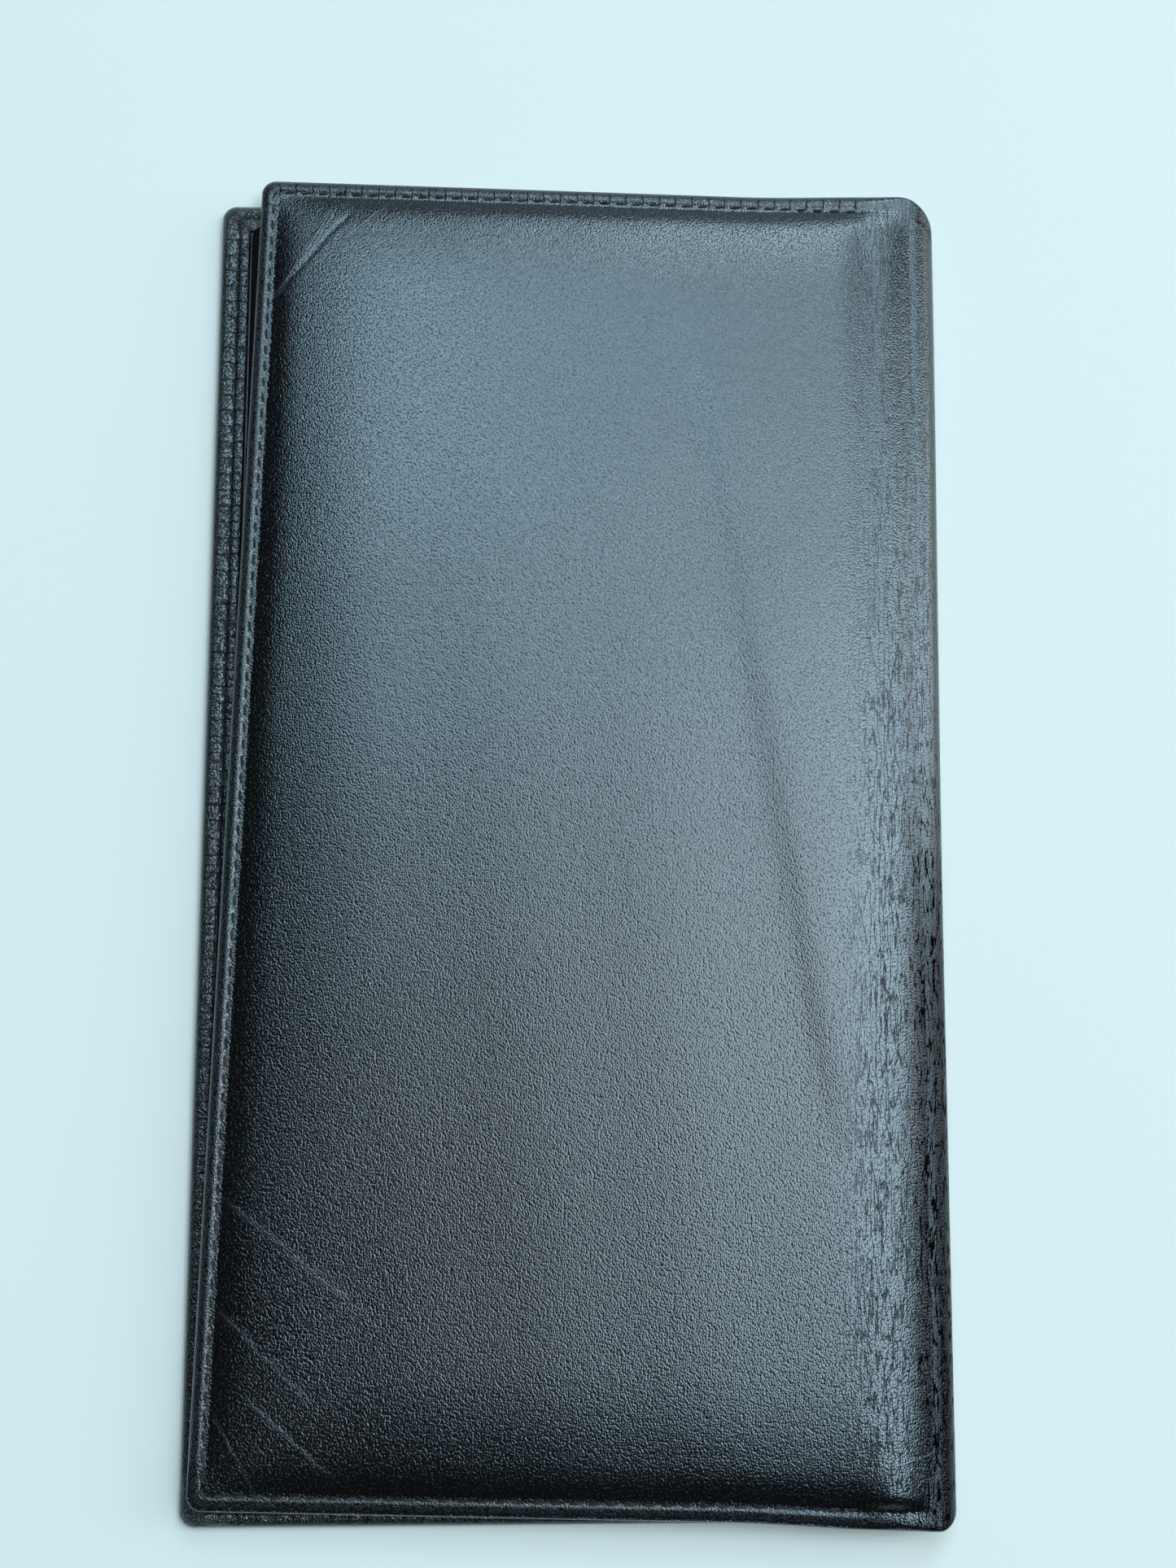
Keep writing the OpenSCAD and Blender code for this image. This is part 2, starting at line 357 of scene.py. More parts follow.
@dataclass
class Cover:
    """One half of the holder: a board in turned-in leather, with the coordinates that place its pieces."""

    side: Side
    fold: Fold
    width: float
    half_height: float
    thickness: float = 2.05
    leather: float = 0.8
    corner: float = 2.0
    hem_width: float = 3.95
    hem: float = 0.4
    clearance: float = 0.1
    droop: float = 0.0

    @property
    def sign(self) -> float:
        """1 on the back, whose depth runs up, and -1 on the front."""
        return 1.0 if self.side is Side.BACK else -1.0

    def fold_at(self, v: Array) -> Array:
        """The fold line's u at height v."""
        return self.sign * math.tan(self.fold.lean) * np.asarray(v, float)

    def place(self, u: Array, v: Array, depth: Array) -> Array:
        """Row-frame points, in metres, of places on the cover.

        Up to the fold line the cover is a plane, turned on the back by twice the lean where it is the front,
        and sinking to its free edge by the droop. Past the line, the way goes round the roll as an angle.

        Args:
            u: place across.
            v: place up the cover.
            depth: distance in from the outer face.

        Returns:
            The points, with a last axis of 3.
        """
        u, v, depth = np.broadcast_arrays(*(np.asarray(a, float) for a in (u, v, depth)))
        f = self.fold
        turn = 0.0 if self.side is Side.BACK else 2.0 * f.lean
        c, s = math.cos(turn), math.sin(turn)
        sag = self.droop * np.clip(-u / self.width, 0.0, 1.0) ** 1.6
        middle = f.radius - self.sign * (f.radius - depth)
        flat = np.stack([u * c + v * s + f.x, v * c - u * s + f.y, middle - sag], axis=-1) * MM
        past = np.maximum(u - self.fold_at(v), 0.0)
        angle = past / f.radius
        roll = f.on_roll(
            (f.radius - depth) * np.sin(angle),
            v / math.cos(f.lean),
            f.radius - self.sign * (f.radius - depth) * np.cos(angle),
        )
        return np.where((past > 0.0)[..., None], roll, flat)

    def bend(self, piece: Piece) -> None:
        """Bakes a piece's place into its points. It finds the middle of the spine and the cover's edge on the
        roll, but nothing uses them, so the piece does not bend.

        Args:
            piece: the piece that crosses the fold.
        """
        f = self.fold
        top = f.radius * (1.0 - self.sign)
        middle = f.on_roll(np.array(f.radius), np.array(0.0), np.array(f.radius))
        edge = f.on_roll(np.array(-0.35), np.array(0.0), np.array(top))
        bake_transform(piece)


# Node wiring


class Net:
    """Short-hand for wiring a node tree."""

    def __init__(self, tree: Tree) -> None:
        """Keeps the tree that the nodes go into."""
        self.tree = tree

    def feed(self, socket: Socket, value: Feed) -> None:
        """Links a socket to an input, or sets the input's own value.

        Args:
            socket: the input.
            value: a socket, or the value to set.
        """
        if isinstance(value, Socket):
            self.tree.links.new(value, socket)
        else:
            socket.default_value = value

    def add(self, kind: str, feeds: dict[Union[str, int], Feed], **settings: object) -> Node:
        """Adds a node.

        Args:
            kind: the node's type without its ShaderNode prefix.
            feeds: value or socket for each input, by name or place.
            settings: the node's own settings.

        Returns:
            The node.
        """
        node = self.tree.nodes.new("ShaderNode" + kind)
        for name, value in settings.items():
            setattr(node, name, value)
        for key, value in feeds.items():
            self.feed(node.inputs[key], value)
        return node

    def math(self, operation: str, a: Feed, b: Feed = 0.0, c: Feed = 0.0) -> Socket:
        """Result of a Math node on up to three values."""
        return self.add("Math", {0: a, 1: b, 2: c}, operation=operation).outputs[0]

    # Math nodes by name; by_plus is a times b plus c
    plus = partialmethod(math, "ADD")
    minus = partialmethod(math, "SUBTRACT")
    by = partialmethod(math, "MULTIPLY")
    by_plus = partialmethod(math, "MULTIPLY_ADD")
    over = partialmethod(math, "DIVIDE")
    most = partialmethod(math, "MAXIMUM")
    size = partialmethod(math, "ABSOLUTE")
    sine = partialmethod(math, "SINE")

    def vector(self, operation: str, a: Feed, b: Feed = (0, 0, 0)) -> Socket:
        """Vector result of a Vector Math node on two vectors."""
        return self.add("VectorMath", {0: a, 1: b}, operation=operation).outputs["Vector"]

    def number(self, operation: str, a: Feed, b: Feed = (0, 0, 0)) -> Socket:
        """Number result of a Vector Math node, such as a dot product or a length."""
        return self.add("VectorMath", {0: a, 1: b}, operation=operation).outputs["Value"]

    def times(self, a: Feed, size: Feed) -> Socket:
        """A vector times a number."""
        return self.add("VectorMath", {0: a, "Scale": size}, operation="SCALE").outputs["Vector"]

    def step(self, x: Feed, low: Feed, high: Feed, to_low: Feed = 0.0, to_high: Feed = 1.0) -> Socket:
        """Smooth step of x from low to high, with any two values at its ends."""
        feeds = {"Value": x, "From Min": low, "From Max": high, "To Min": to_low, "To Max": to_high}
        return self.add("MapRange", feeds, interpolation_type="SMOOTHSTEP").outputs["Result"]

    def point(self, unit: float = 1.0) -> Socket:
        """Place on the piece, in lengths of a unit that is given in millimetres."""
        return self.times(self.add("TexCoord", {}).outputs["Object"], 1000.0 / unit)

    def noise(
        self, point: Feed, scale: float, detail: float = 2.0, rough: float = 0.5, output: str = "Fac"
    ) -> Socket:
        """Noise at a point, from 0 to 1, or its colour."""
        feeds = {"Vector": point, "Scale": scale, "Detail": detail, "Roughness": rough}
        return self.add("TexNoise", feeds, noise_dimensions="3D").outputs[output]

    def split(self, vector: Feed) -> list[Socket]:
        """The three parts of a vector."""
        return list(self.add("SeparateXYZ", {0: vector}).outputs)

    def join(self, x: Feed = 0.0, y: Feed = 0.0, z: Feed = 0.0) -> Socket:
        """A vector from three parts."""
        return self.add("CombineXYZ", {0: x, 1: y, 2: z}).outputs[0]

    def blend(self, share: Feed, a: Feed, b: Feed) -> Socket:
        """Colour a going to colour b.

        Args:
            share: share of b, from 0 to 1.
            a: first colour, a socket or three numbers.
            b: second colour.

        Returns:
            The blended colour.
        """
        node = self.tree.nodes.new("ShaderNodeMix")
        node.data_type = "RGBA"
        by_name = {s.identifier: s for s in node.inputs}
        self.feed(by_name["Factor_Float"], share)
        for key, value in (("A_Color", a), ("B_Color", b)):
            self.feed(by_name[key], value if isinstance(value, Socket) else (*value, 1.0))
        return next(s for s in node.outputs if s.identifier == "Result_Color")

    def group(self, tree: Tree, feeds: dict[str, Feed]) -> Node:
        """Places a node group.

        Args:
            tree: the group.
            feeds: value or socket for each input, by name.

        Returns:
            The group's node.
        """
        node = self.tree.nodes.new("ShaderNodeGroup")
        node.node_tree = tree
        for key, value in feeds.items():
            self.feed(node.inputs[key], value)
        return node


class Effect(Enum):
    """Node groups that more than one material uses."""

    GRAIN = "leather grain"
    CREASE = "crease strands"
    SPECK = "dust specks"
    MOTTLE = "mottle"


class Effects:
    """Builds the shared node groups once. Points and sizes in them are millimetres."""

    def __init__(self) -> None:
        """Makes every group."""
        self.trees: dict[Effect, Tree] = {}
        self._grain()
        self._crease()
        self._speck()
        self._mottle()

    def _new(
        self, effect: Effect, inputs: dict[str, str], outputs: Sequence[str]
    ) -> tuple[Net, Node, Node]:
        """Starts a group.

        Args:
            effect: which group.
            inputs: socket kind, Float or Vector, by name.
            outputs: names of its number outputs.

        Returns:
            The wiring, the node that gives its inputs, and the node that takes its outputs.
        """
        tree = bpy.data.node_groups.new(effect.value, "ShaderNodeTree")
        for name, kind in inputs.items():
            tree.interface.new_socket(name, in_out="INPUT", socket_type="NodeSocket" + kind)
        for name in outputs:
            tree.interface.new_socket(name, in_out="OUTPUT", socket_type="NodeSocketFloat")
        self.trees[effect] = tree
        return Net(tree), tree.nodes.new("NodeGroupInput"), tree.nodes.new("NodeGroupOutput")

    def _grain(self) -> None:
        """Pebbled grain: warped cells with round tops that run together, and a finer unevenness on them."""
        kinds = {"Point": "Vector", "Cell": "Float", "Warp": "Float"}
        net, given, out = self._new(Effect.GRAIN, kinds, ("Height", "Valley"))
        scaled = net.times(given.outputs["Point"], net.over(1.0, given.outputs["Cell"]))
        drift = net.vector("SUBTRACT", net.noise(scaled, 0.7, 1.0, output="Color"), (0.5, 0.5, 0.5))
        warped = net.vector("ADD", scaled, net.times(drift, given.outputs["Warp"]))
        cells = {"Vector": warped, "Scale": 1.0, "Randomness": 0.95}
        away = net.add("TexVoronoi", cells, voronoi_dimensions="2D", feature="F1").outputs["Distance"]
        fine = net.noise(scaled, 1.2, 2.0)
        net.feed(out.inputs["Height"], net.by_plus(net.by(away, away), -1.6, net.by(fine, 0.6)))
        net.feed(out.inputs["Valley"], net.step(away, 0.42, 0.68))

    def _crease(self) -> None:
        """A crease that fades at both ends: one line, or a bundle of strands that may fan out or bow."""
        kinds = {"Point": "Vector", "Wander": "Float", "Start": "Vector", "End": "Vector", "Width": "Float"}
        kinds |= {"Spacing": "Float", "Strands": "Float", "Fan": "Float", "Bow": "Float"}
        net, given, out = self._new(Effect.CREASE, kinds, ("Height",))
        given = given.outputs
        run = net.vector("SUBTRACT", given["End"], given["Start"])
        way = net.vector("NORMALIZE", run)
        local = net.vector("SUBTRACT", given["Point"], given["Start"])
        along = net.number("DOT_PRODUCT", local, way)
        across = net.number("DOT_PRODUCT", local, net.vector("CROSS_PRODUCT", way, (0, 0, 1)))
        share = net.over(along, net.number("LENGTH", run))
        arch = net.by(net.by(share, net.minus(1.0, share)), net.by(given["Bow"], 4.0))
        aside = net.minus(net.plus(across, given["Wander"]), arch)
        spread = net.by_plus(given["Fan"], net.minus(share, 1.0), 1.0)
        off = net.over(aside, net.by(given["Width"], spread))
        ends = net.by(net.step(share, 0.0, 0.15), net.step(share, 1.0, 0.75))
        mask = net.by(net.math("EXPONENT", net.by(net.by(off, off), -1.0)), ends)
        strand = net.join(net.over(aside, net.by(given["Spacing"], spread)), net.over(along, 6.0))
        ridge = net.size(net.by_plus(net.noise(strand, 1.0, 1.0), 4.0, -2.0))
        line = net.by_plus(net.minus(net.step(ridge, 0.5, 0.0), 1.0), given["Strands"], 1.0)
        net.feed(out.inputs["Height"], net.by(mask, line))

    def _speck(self) -> None:
        """One speck: a small disc with a soft rim."""
        kinds = {"Point": "Vector", "Centre": "Vector", "Size": "Float"}
        net, given, out = self._new(Effect.SPECK, kinds, ("Mask",))
        away = net.number("DISTANCE", given.outputs["Point"], given.outputs["Centre"])
        size = given.outputs["Size"]
        net.feed(out.inputs["Mask"], net.step(away, size, net.by(size, 0.5)))

    def _mottle(self) -> None:
        """Broad unevenness of finish, from 0 to 1."""
        net, given, out = self._new(Effect.MOTTLE, {"Point": "Vector", "Cell": "Float"}, ("Fac",))
        scaled = net.times(given.outputs["Point"], net.over(1.0, given.outputs["Cell"]))
        net.feed(out.inputs["Fac"], net.step(net.noise(scaled, 1.0, 3.0, 0.55), 0.3, 0.7))


# Finishes


@dataclass(frozen=True)
class Finish:
    """A material's name, its wiring and its shader."""

    name: str

    def start(self, **constants: object) -> tuple[Material, Net, Node]:
        """Starts a material whose shader has constant values on its own sockets.

        Args:
            constants: value for each shader socket, with _ for the spaces of its name.

        Returns:
            The material, its wiring and its shader.
        """
        material = bpy.data.materials.new(self.name)
        material.use_nodes = True
        net = Net(material.node_tree)
        shader = next(n for n in material.node_tree.nodes if n.type == "BSDF_PRINCIPLED")
        for key, value in constants.items():
            shader.inputs[key.replace("_", " ")].default_value = value
        return material, net, shader

    @staticmethod
    def wire(net: Net, shader: Node, height: Feed, **feeds: Feed) -> None:
        """Feeds a shader's sockets and gives it a relief.

        Args:
            net: the material's wiring.
            shader: the shader.
            height: height of the relief in millimetres.
            feeds: value or socket for each shader socket, with _ for the spaces of its name.
        """
        for key, value in feeds.items():
            net.feed(shader.inputs[key.replace("_", " ")], value)
        bump = net.add("Bump", {"Height": height, "Strength": 1.0, "Distance": MM})
        net.feed(shader.inputs["Normal"], bump.outputs["Normal"])


@dataclass(frozen=True)
class Crease:
    """A crease on a cover, from (u, v) to (u, v): a raised bundle of strands, or one line where strands is 0.

    Its half width, the strands' spacing and its height are millimetres, and so is the bow of its middle to
    one side. A fan of 1 starts as a point and opens to the full width at the end. A height below 0 is a cut.
    """

    start: tuple[float, float]
    end: tuple[float, float]
    width: float = 1.2
    spacing: float = 0.35
    height: float = 0.08
    strands: float = 1.0
    fan: float = 0.0
    bow: float = 0.0


@dataclass(frozen=True)
class LeatherPlace:
    """Where a point of the leather is, and a fine unevenness of the leather there.

    It comes from two values kept on the points: blank, with the place on the flat cut piece and the distance
    past the fold line, and seam, with the way along the seam, the inset from the edge and 1 on the face.
    """

    net: Net
    across: Socket
    up: Socket
    past: Socket
    along: Socket
    inset: Socket
    outer: Socket
    flat: Socket
    patch: Socket

    @classmethod
    def read(cls, net: Net) -> "LeatherPlace":
        """Reads the place from the points.

        Args:
            net: the material's wiring.

        Returns:
            The place.
        """
        blank, seam = (net.add("Attribute", {}, attribute_name=name) for name in ("blank", "seam"))
        across, up, past = net.split(blank.outputs["Vector"])
        flat = net.join(across, up)
        patch = net.noise(flat, 0.9, 3.0)
        return cls(net, across, up, past, *net.split(seam.outputs["Vector"]), flat, patch)


@dataclass(frozen=True)
class OuterLeather(Finish):
    """Semi-gloss black grained leather: cracked along the fold, puckered by its seam, worn at its edges, with
    painted highlights on its edge and creases and a matt lower fold as a painted dark reflection.
    """

    effects: Effects = field(default=None, compare=False)
    creases: tuple[Crease, ...] = ()
    specks: tuple[tuple[float, float], ...] = ()
    corners: tuple[float, ...] = ()
    pitch: float = 2.3
    # Strength of the painted highlight line on the edge; 0 leaves it out
    edge_glint: float = 0.0
    cell: float = 0.26
    stretch: float = 0.82
    warp: float = 0.8
    pebble: float = 0.026
    uneven: float = 0.035
    crack: float = 0.02
    crack_grid: Triple = (1.5, 0.19, 0.0)
    crack_width: float = 0.038
    crack_start: Triple = (-8.2, 0.0233, -0.00014)
    slant: tuple[float, float] = (0.714, 0.70)
    middle: float = -46.0
    free_corner: Triple = (-92.0, 88.7, 0.0)
    corner_share: float = 0.2
    hem_reach: float = 4.2
    face_reach: float = 2.6
    tick: float = 0.04
    wrinkle: float = 0.04
    hem_lumps: float = 0.09
    face_lumps: float = 0.015
    pleat_lumps: float = 0.12
    speck: float = 0.13
    # Inset of the painted highlight line on the edge
    glint_at: float = 0.13
    wear: float = 0.25
    # Share of the painted highlight along the creases
    crease_highlight: float = 0.4
    rough: tuple[float, float] = (0.19, 0.165)
    valley_rough: float = 0.16
    crack_rough: float = 0.12
    split_dull: float = 0.8
    # Gloss taken off the fold's lower stretch, a painted dark reflection
    dark_reflection_dull: float = 0.7
    black: Triple = (0.0022, 0.0023, 0.0026)
    worn: Triple = (0.020, 0.021, 0.022)
    creased: Triple = (0.046, 0.044, 0.038)
    # Colour of the painted highlight line on the edge
    edge: Triple = (0.20, 0.21, 0.215)
    # Colour of the painted highlight along the creases
    crease_highlight_colour: Triple = (0.075, 0.082, 0.09)
    dust: Triple = (0.40, 0.42, 0.42)

    def build(self) -> Material:
        """Makes the material.

        Returns:
            The material.
        """
        material, net, shader = self.start(IOR=1.6, Specular_Tint=(0.77, 0.93, 1.0, 1.0))
        place = LeatherPlace.read(net)
        past, inset, patch = place.past, place.inset, place.patch
        mottle = net.group(self.effects.trees[Effect.MOTTLE], {"Point": place.flat, "Cell": 26.0})
        height, valley = self._pebbles(place)
        crack = self._cracks(place)
        height = net.by_plus(crack, -self.crack, height)
        height, drawn, pleat = self._rim(place, height)
        height, marked, dusty = self._marks(place, height)
        # Colour: wear at the edge, pleats, a painted highlight line on the edge, painted highlights along the
        # creases, and dust
        base = net.blend(net.by(net.by(net.step(inset, 2.0, 0.5), patch), self.wear), self.black, self.worn)
        base = net.blend(net.by(pleat, patch), base, self.creased)
        # Painted highlight: a thin light line on the front's rounded edge, where it catches the light
        if self.edge_glint:
            painted_glint = net.step(net.size(net.minus(inset, self.glint_at)), 0.09, 0.03, 0.0, self.edge_glint)
            base = net.blend(net.by(painted_glint, net.step(past, -5.0, -7.0)), base, self.edge)
        # Painted highlight: the creases are coloured lighter, where their strands catch the light
        base = net.blend(net.by(marked, self.crease_highlight), base, self.crease_highlight_colour)
        base = net.blend(dusty, base, self.dust)
        # Gloss: none in a crack or wrinkle, and little on the fold's lower stretch, which is made matt as a
        # painted dark reflection of the room
        rough = net.step(mottle.outputs["Fac"], 0.0, 1.0, *self.rough)
        rough = net.by_plus(valley, self.valley_rough, rough)
        gloss = net.by_plus(net.most(crack, drawn), -self.split_dull, 1.0)
        # Painted dark reflection: the fold's lower stretch, made matt
        dark_reflection_zone = net.by(net.step(past, -3.5, 0.0), net.step(place.up, 14.0, -22.0))
        self.wire(
            net,
            shader,
            height,
            Base_Color=base,
            Specular_IOR_Level=net.most(net.by_plus(dark_reflection_zone, -self.dark_reflection_dull, gloss), 0.0),
            Roughness=net.by_plus(crack, self.crack_rough, rough),
        )
        return material

    def _pebbles(self, place: LeatherPlace) -> tuple[Socket, Socket]:
        """Pebbles, flatter towards the head and deeper towards the free side.

        Args:
            place: where the points are.

        Returns:
            The height in millimetres, and the mask of the valleys.
        """
        net, up = place.net, place.up
        stretched = net.join(place.across, net.by(up, self.stretch))
        feeds = {"Point": stretched, "Cell": self.cell, "Warp": self.warp}
        grain = net.group(self.effects.trees[Effect.GRAIN], feeds).outputs
        head = net.step(up, -70.0, 60.0, self.pebble, self.pebble * 0.8)
        strength = net.by(head, net.step(place.across, -66.0, -88.0, 1.0, 1.4))
        return net.by_plus(place.patch, self.uneven, net.by(grain["Height"], strength)), grain["Valley"]

    def _cracks(self, place: LeatherPlace) -> Socket:
        """Cracks: the middle lines of a drawn-out noise, upright by the fold, slanting at the free corners.

        By the fold they start at a parabola up the cover, and are fewer towards the head.

        Args:
            place: where the points are.

        Returns:
            Their mask.
        """
        net, across, up = place.net, place.across, place.up
        level = net.size(up)
        cos, sin = self.slant
        slant = net.join(
            net.by_plus(level, -sin, net.by(across, cos)), net.by_plus(level, cos, net.by(across, sin))
        )
        free = net.math("LESS_THAN", across, self.middle)
        grid = net.vector("ADD", place.flat, net.times(net.vector("SUBTRACT", slant, place.flat), free))
        strain = net.noise(net.vector("MULTIPLY", grid, self.crack_grid), 1.0, 2.0)
        line = net.step(net.size(net.minus(strain, 0.5)), self.crack_width, 0.0)
        at, lean, bow = self.crack_start
        start = net.by_plus(up, net.by_plus(up, bow, lean), at)
        zone = net.step(net.minus(place.past, start), -4.5, 3.5)
        zone = net.by(zone, net.step(up, -20.0, 60.0, 1.0, 0.55))
        corner = net.step(net.number("DISTANCE", net.join(across, level), self.free_corner), 24.0, 9.0)
        return net.by(net.by(line, net.by_plus(corner, self.corner_share, zone)), place.outer)

    def _rim(self, place: LeatherPlace, height: Socket) -> tuple[Socket, Socket, Feed]:
        """Adds what the seam draws: ticks, lumps and wrinkles on the rim, and pleats at the hem's corners.

        Args:
            place: where the points are.
            height: height so far.

        Returns:
            The new height, the mask of ticks and wrinkles, and the mask of the pleats.
        """
        net, along, inset, outer = place.net, place.along, place.inset, place.outer
        hem = net.minus(1.0, outer)
        reach = net.by_plus(outer, self.face_reach - self.hem_reach, self.hem_reach)
        rim = net.by(net.step(inset, reach, net.minus(reach, 0.6)), net.step(place.past, -5.0, -7.0))
        rim = net.by(rim, net.step(inset, 0.35, 0.9))
        beat = net.minus(net.math("FRACT", net.over(net.by_plus(place.patch, 0.9, along), self.pitch)), 0.5)
        head = net.most(hem, net.step(place.up, 82.0, 85.0))
        tick = net.by(net.step(net.size(beat), 0.42, 0.5), net.by(rim, head))
        lumps = net.noise(net.join(net.over(along, 0.7), net.over(inset, 0.6), 7.0), 1.0, 3.0, 0.6)
        wrinkle = net.step(net.size(net.minus(lumps, 0.5)), 0.05, 0.0)
        wrinkle = net.by(wrinkle, net.by_plus(outer, net.by(rim, -0.6), rim))
        pleat: Feed = 0.0
        for corner in self.corners:
            near = net.step(net.size(net.minus(along, corner)), 4.5, 2.5)
            pleat = net.most(pleat, net.by(near, hem))
        swell = net.by_plus(pleat, self.pleat_lumps, self.hem_lumps)
        swell = net.by_plus(outer, self.face_lumps - self.hem_lumps, swell)
        height = net.by_plus(tick, -self.tick, height)
        height = net.by_plus(net.by(lumps, rim), swell, height)
        return net.by_plus(wrinkle, -self.wrinkle, height), net.most(wrinkle, tick), pleat

    def _marks(self, place: LeatherPlace, height: Socket) -> tuple[Socket, Feed, Feed]:
        """Adds the creases and specks at their own places.

        Args:
            place: where the points are.
            height: height so far.

        Returns:
            The new height, the mask of the creases and the mask of the specks.
        """
        net, flat, trees = place.net, place.flat, self.effects.trees
        wander = net.by_plus(net.noise(flat, 0.22, 2.0), 1.4, -0.7)
        marked: Feed = 0.0
        for crease in self.creases:
            feeds = {"Point": flat, "Wander": wander, "Width": crease.width, "Spacing": crease.spacing}
            feeds |= {"Start": (*crease.start, 0.0), "End": (*crease.end, 0.0)}
            feeds |= {"Strands": crease.strands, "Fan": crease.fan, "Bow": crease.bow}
            strands = net.by(net.group(trees[Effect.CREASE], feeds).outputs["Height"], place.outer)
            height = net.by_plus(strands, crease.height, height)
            marked = net.most(strands, marked)
        dusty: Feed = 0.0
        for centre in self.specks:
            feeds = {"Point": flat, "Centre": (*centre, 0.0), "Size": self.speck}
            dusty = net.most(net.group(trees[Effect.SPECK], feeds).outputs["Mask"], dusty)
        return height, marked, dusty


@dataclass(frozen=True)
class PageLeather(Finish):
    """Satin black lambskin of the pages, with a finer and flatter grain than the covers.

    The pages' free ends are painted darker and matt, a painted shade for the shadow of the front's edge, with
    one thin line left out of the shade.
    """

    effects: Effects = field(default=None, compare=False)
    black: Triple = (0.0105, 0.0105, 0.011)
    pale: Triple = (0.0135, 0.0135, 0.014)
    # Colour of the painted shade at the pages' free ends
    painted_shade: Triple = (0.003, 0.003, 0.0033)
    shade_end: float = -43.0
    unshaded_line_at: float = -45.55

    def build(self) -> Material:
        """Makes the material.

        Returns:
            The material.
        """
        material, net, shader = self.start(IOR=1.48)
        trees = self.effects.trees
        point = net.point()
        grain = net.group(trees[Effect.GRAIN], {"Point": point, "Cell": 0.3, "Warp": 0.7})
        mottle = net.group(trees[Effect.MOTTLE], {"Point": point, "Cell": 14.0}).outputs["Fac"]
        x = net.split(point)[0]
        # Painted shade: a darker, matt band at the pages' free ends, but for one thin line
        line = net.step(net.size(net.minus(x, self.unshaded_line_at)), 0.11, 0.2)
        shaded_end = net.by(net.step(x, self.shade_end, self.shade_end - 0.5), line)
        self.wire(
            net,
            shader,
            net.by(grain.outputs["Height"], 0.012),
            Base_Color=net.blend(shaded_end, net.blend(mottle, self.black, self.pale), self.painted_shade),
            Specular_IOR_Level=net.by_plus(shaded_end, -0.47, 0.5),
            Roughness=net.by_plus(grain.outputs["Valley"], 0.1, net.step(mottle, 0.0, 1.0, 0.36, 0.3)),
        )
        return material


@dataclass(frozen=True)
class TwillLining(Finish):
    """Black twill: two sets of threads whose crossings step aside by one thread in each row."""

    thread: float = 0.28
    black: Triple = (0.016, 0.016, 0.018)
    shade: Triple = (0.006, 0.006, 0.007)

    def build(self) -> Material:
        """Makes the material.

        Returns:
            The material.
        """
        material, net, shader = self.start(IOR=1.45, Sheen_Weight=0.25, Sheen_Roughness=0.5)
        x, y, _ = net.split(net.point(self.thread))
        rib = net.by_plus(net.sine(net.by(net.plus(x, y), math.pi / 2)), 0.5, 0.5)
        yarn = net.by_plus(net.sine(net.by(x, math.tau)), 0.5, 0.5)
        weave = net.by_plus(yarn, 0.4, rib)
        slub = net.noise(net.join(net.by(x, 0.05), y), 1.0, 2.0)
        base = net.blend(net.by(weave, 0.7), self.shade, self.black)
        rough = net.step(slub, 0.2, 0.8, 0.72, 0.88)
        self.wire(net, shader, net.by(weave, 0.05), Base_Color=base, Roughness=rough)
        return material


@dataclass(frozen=True)
class Fibre(Finish):
    """Pressed fibres, as in leather board and felt: flecks of two shades and a soft uneven face."""

    light: Triple = (0.42, 0.36, 0.29)
    dark: Triple = (0.22, 0.17, 0.12)
    fleck: float = 0.7
    depth: float = 0.03

    def build(self) -> Material:
        """Makes the material.

        Returns:
            The material.
        """
        material, net, shader = self.start(IOR=1.45, Specular_IOR_Level=0.3)
        fibres = net.noise(net.point(self.fleck), 1.0, 5.0, 0.65)
        base = net.blend(net.step(fibres, 0.35, 0.65), self.dark, self.light)
        rough = net.step(fibres, 0.3, 0.7, 0.92, 0.8)
        self.wire(net, shader, net.by(fibres, self.depth), Base_Color=base, Roughness=rough)
        return material


@dataclass(frozen=True)
class WaxedThread(Finish):
    """Black waxed thread: a two-ply twist that shows as slanting ridges, a little grey where it is rubbed."""

    black: Triple = (0.006, 0.006, 0.006)
    rubbed: Triple = (0.040, 0.042, 0.037)
    twist: float = 0.32

    def build(self) -> Material:
        """Makes the material.

        Returns:
            The material.
        """
        material, net, shader = self.start(IOR=1.48, Specular_IOR_Level=0.5)
        point = net.point()
        x, y, z = net.split(point)
        ply = net.sine(net.by(net.plus(net.plus(x, y), z), math.tau / self.twist))
        rub = net.noise(point, 0.5, 3.0)
        base = net.blend(net.step(rub, 0.4, 0.75), self.black, self.rubbed)
        rough = net.step(rub, 0.2, 0.8, 0.5, 0.7)
        self.wire(net, shader, net.by(ply, 0.03), Base_Color=base, Roughness=rough)
        return material


# Sub-assemblies


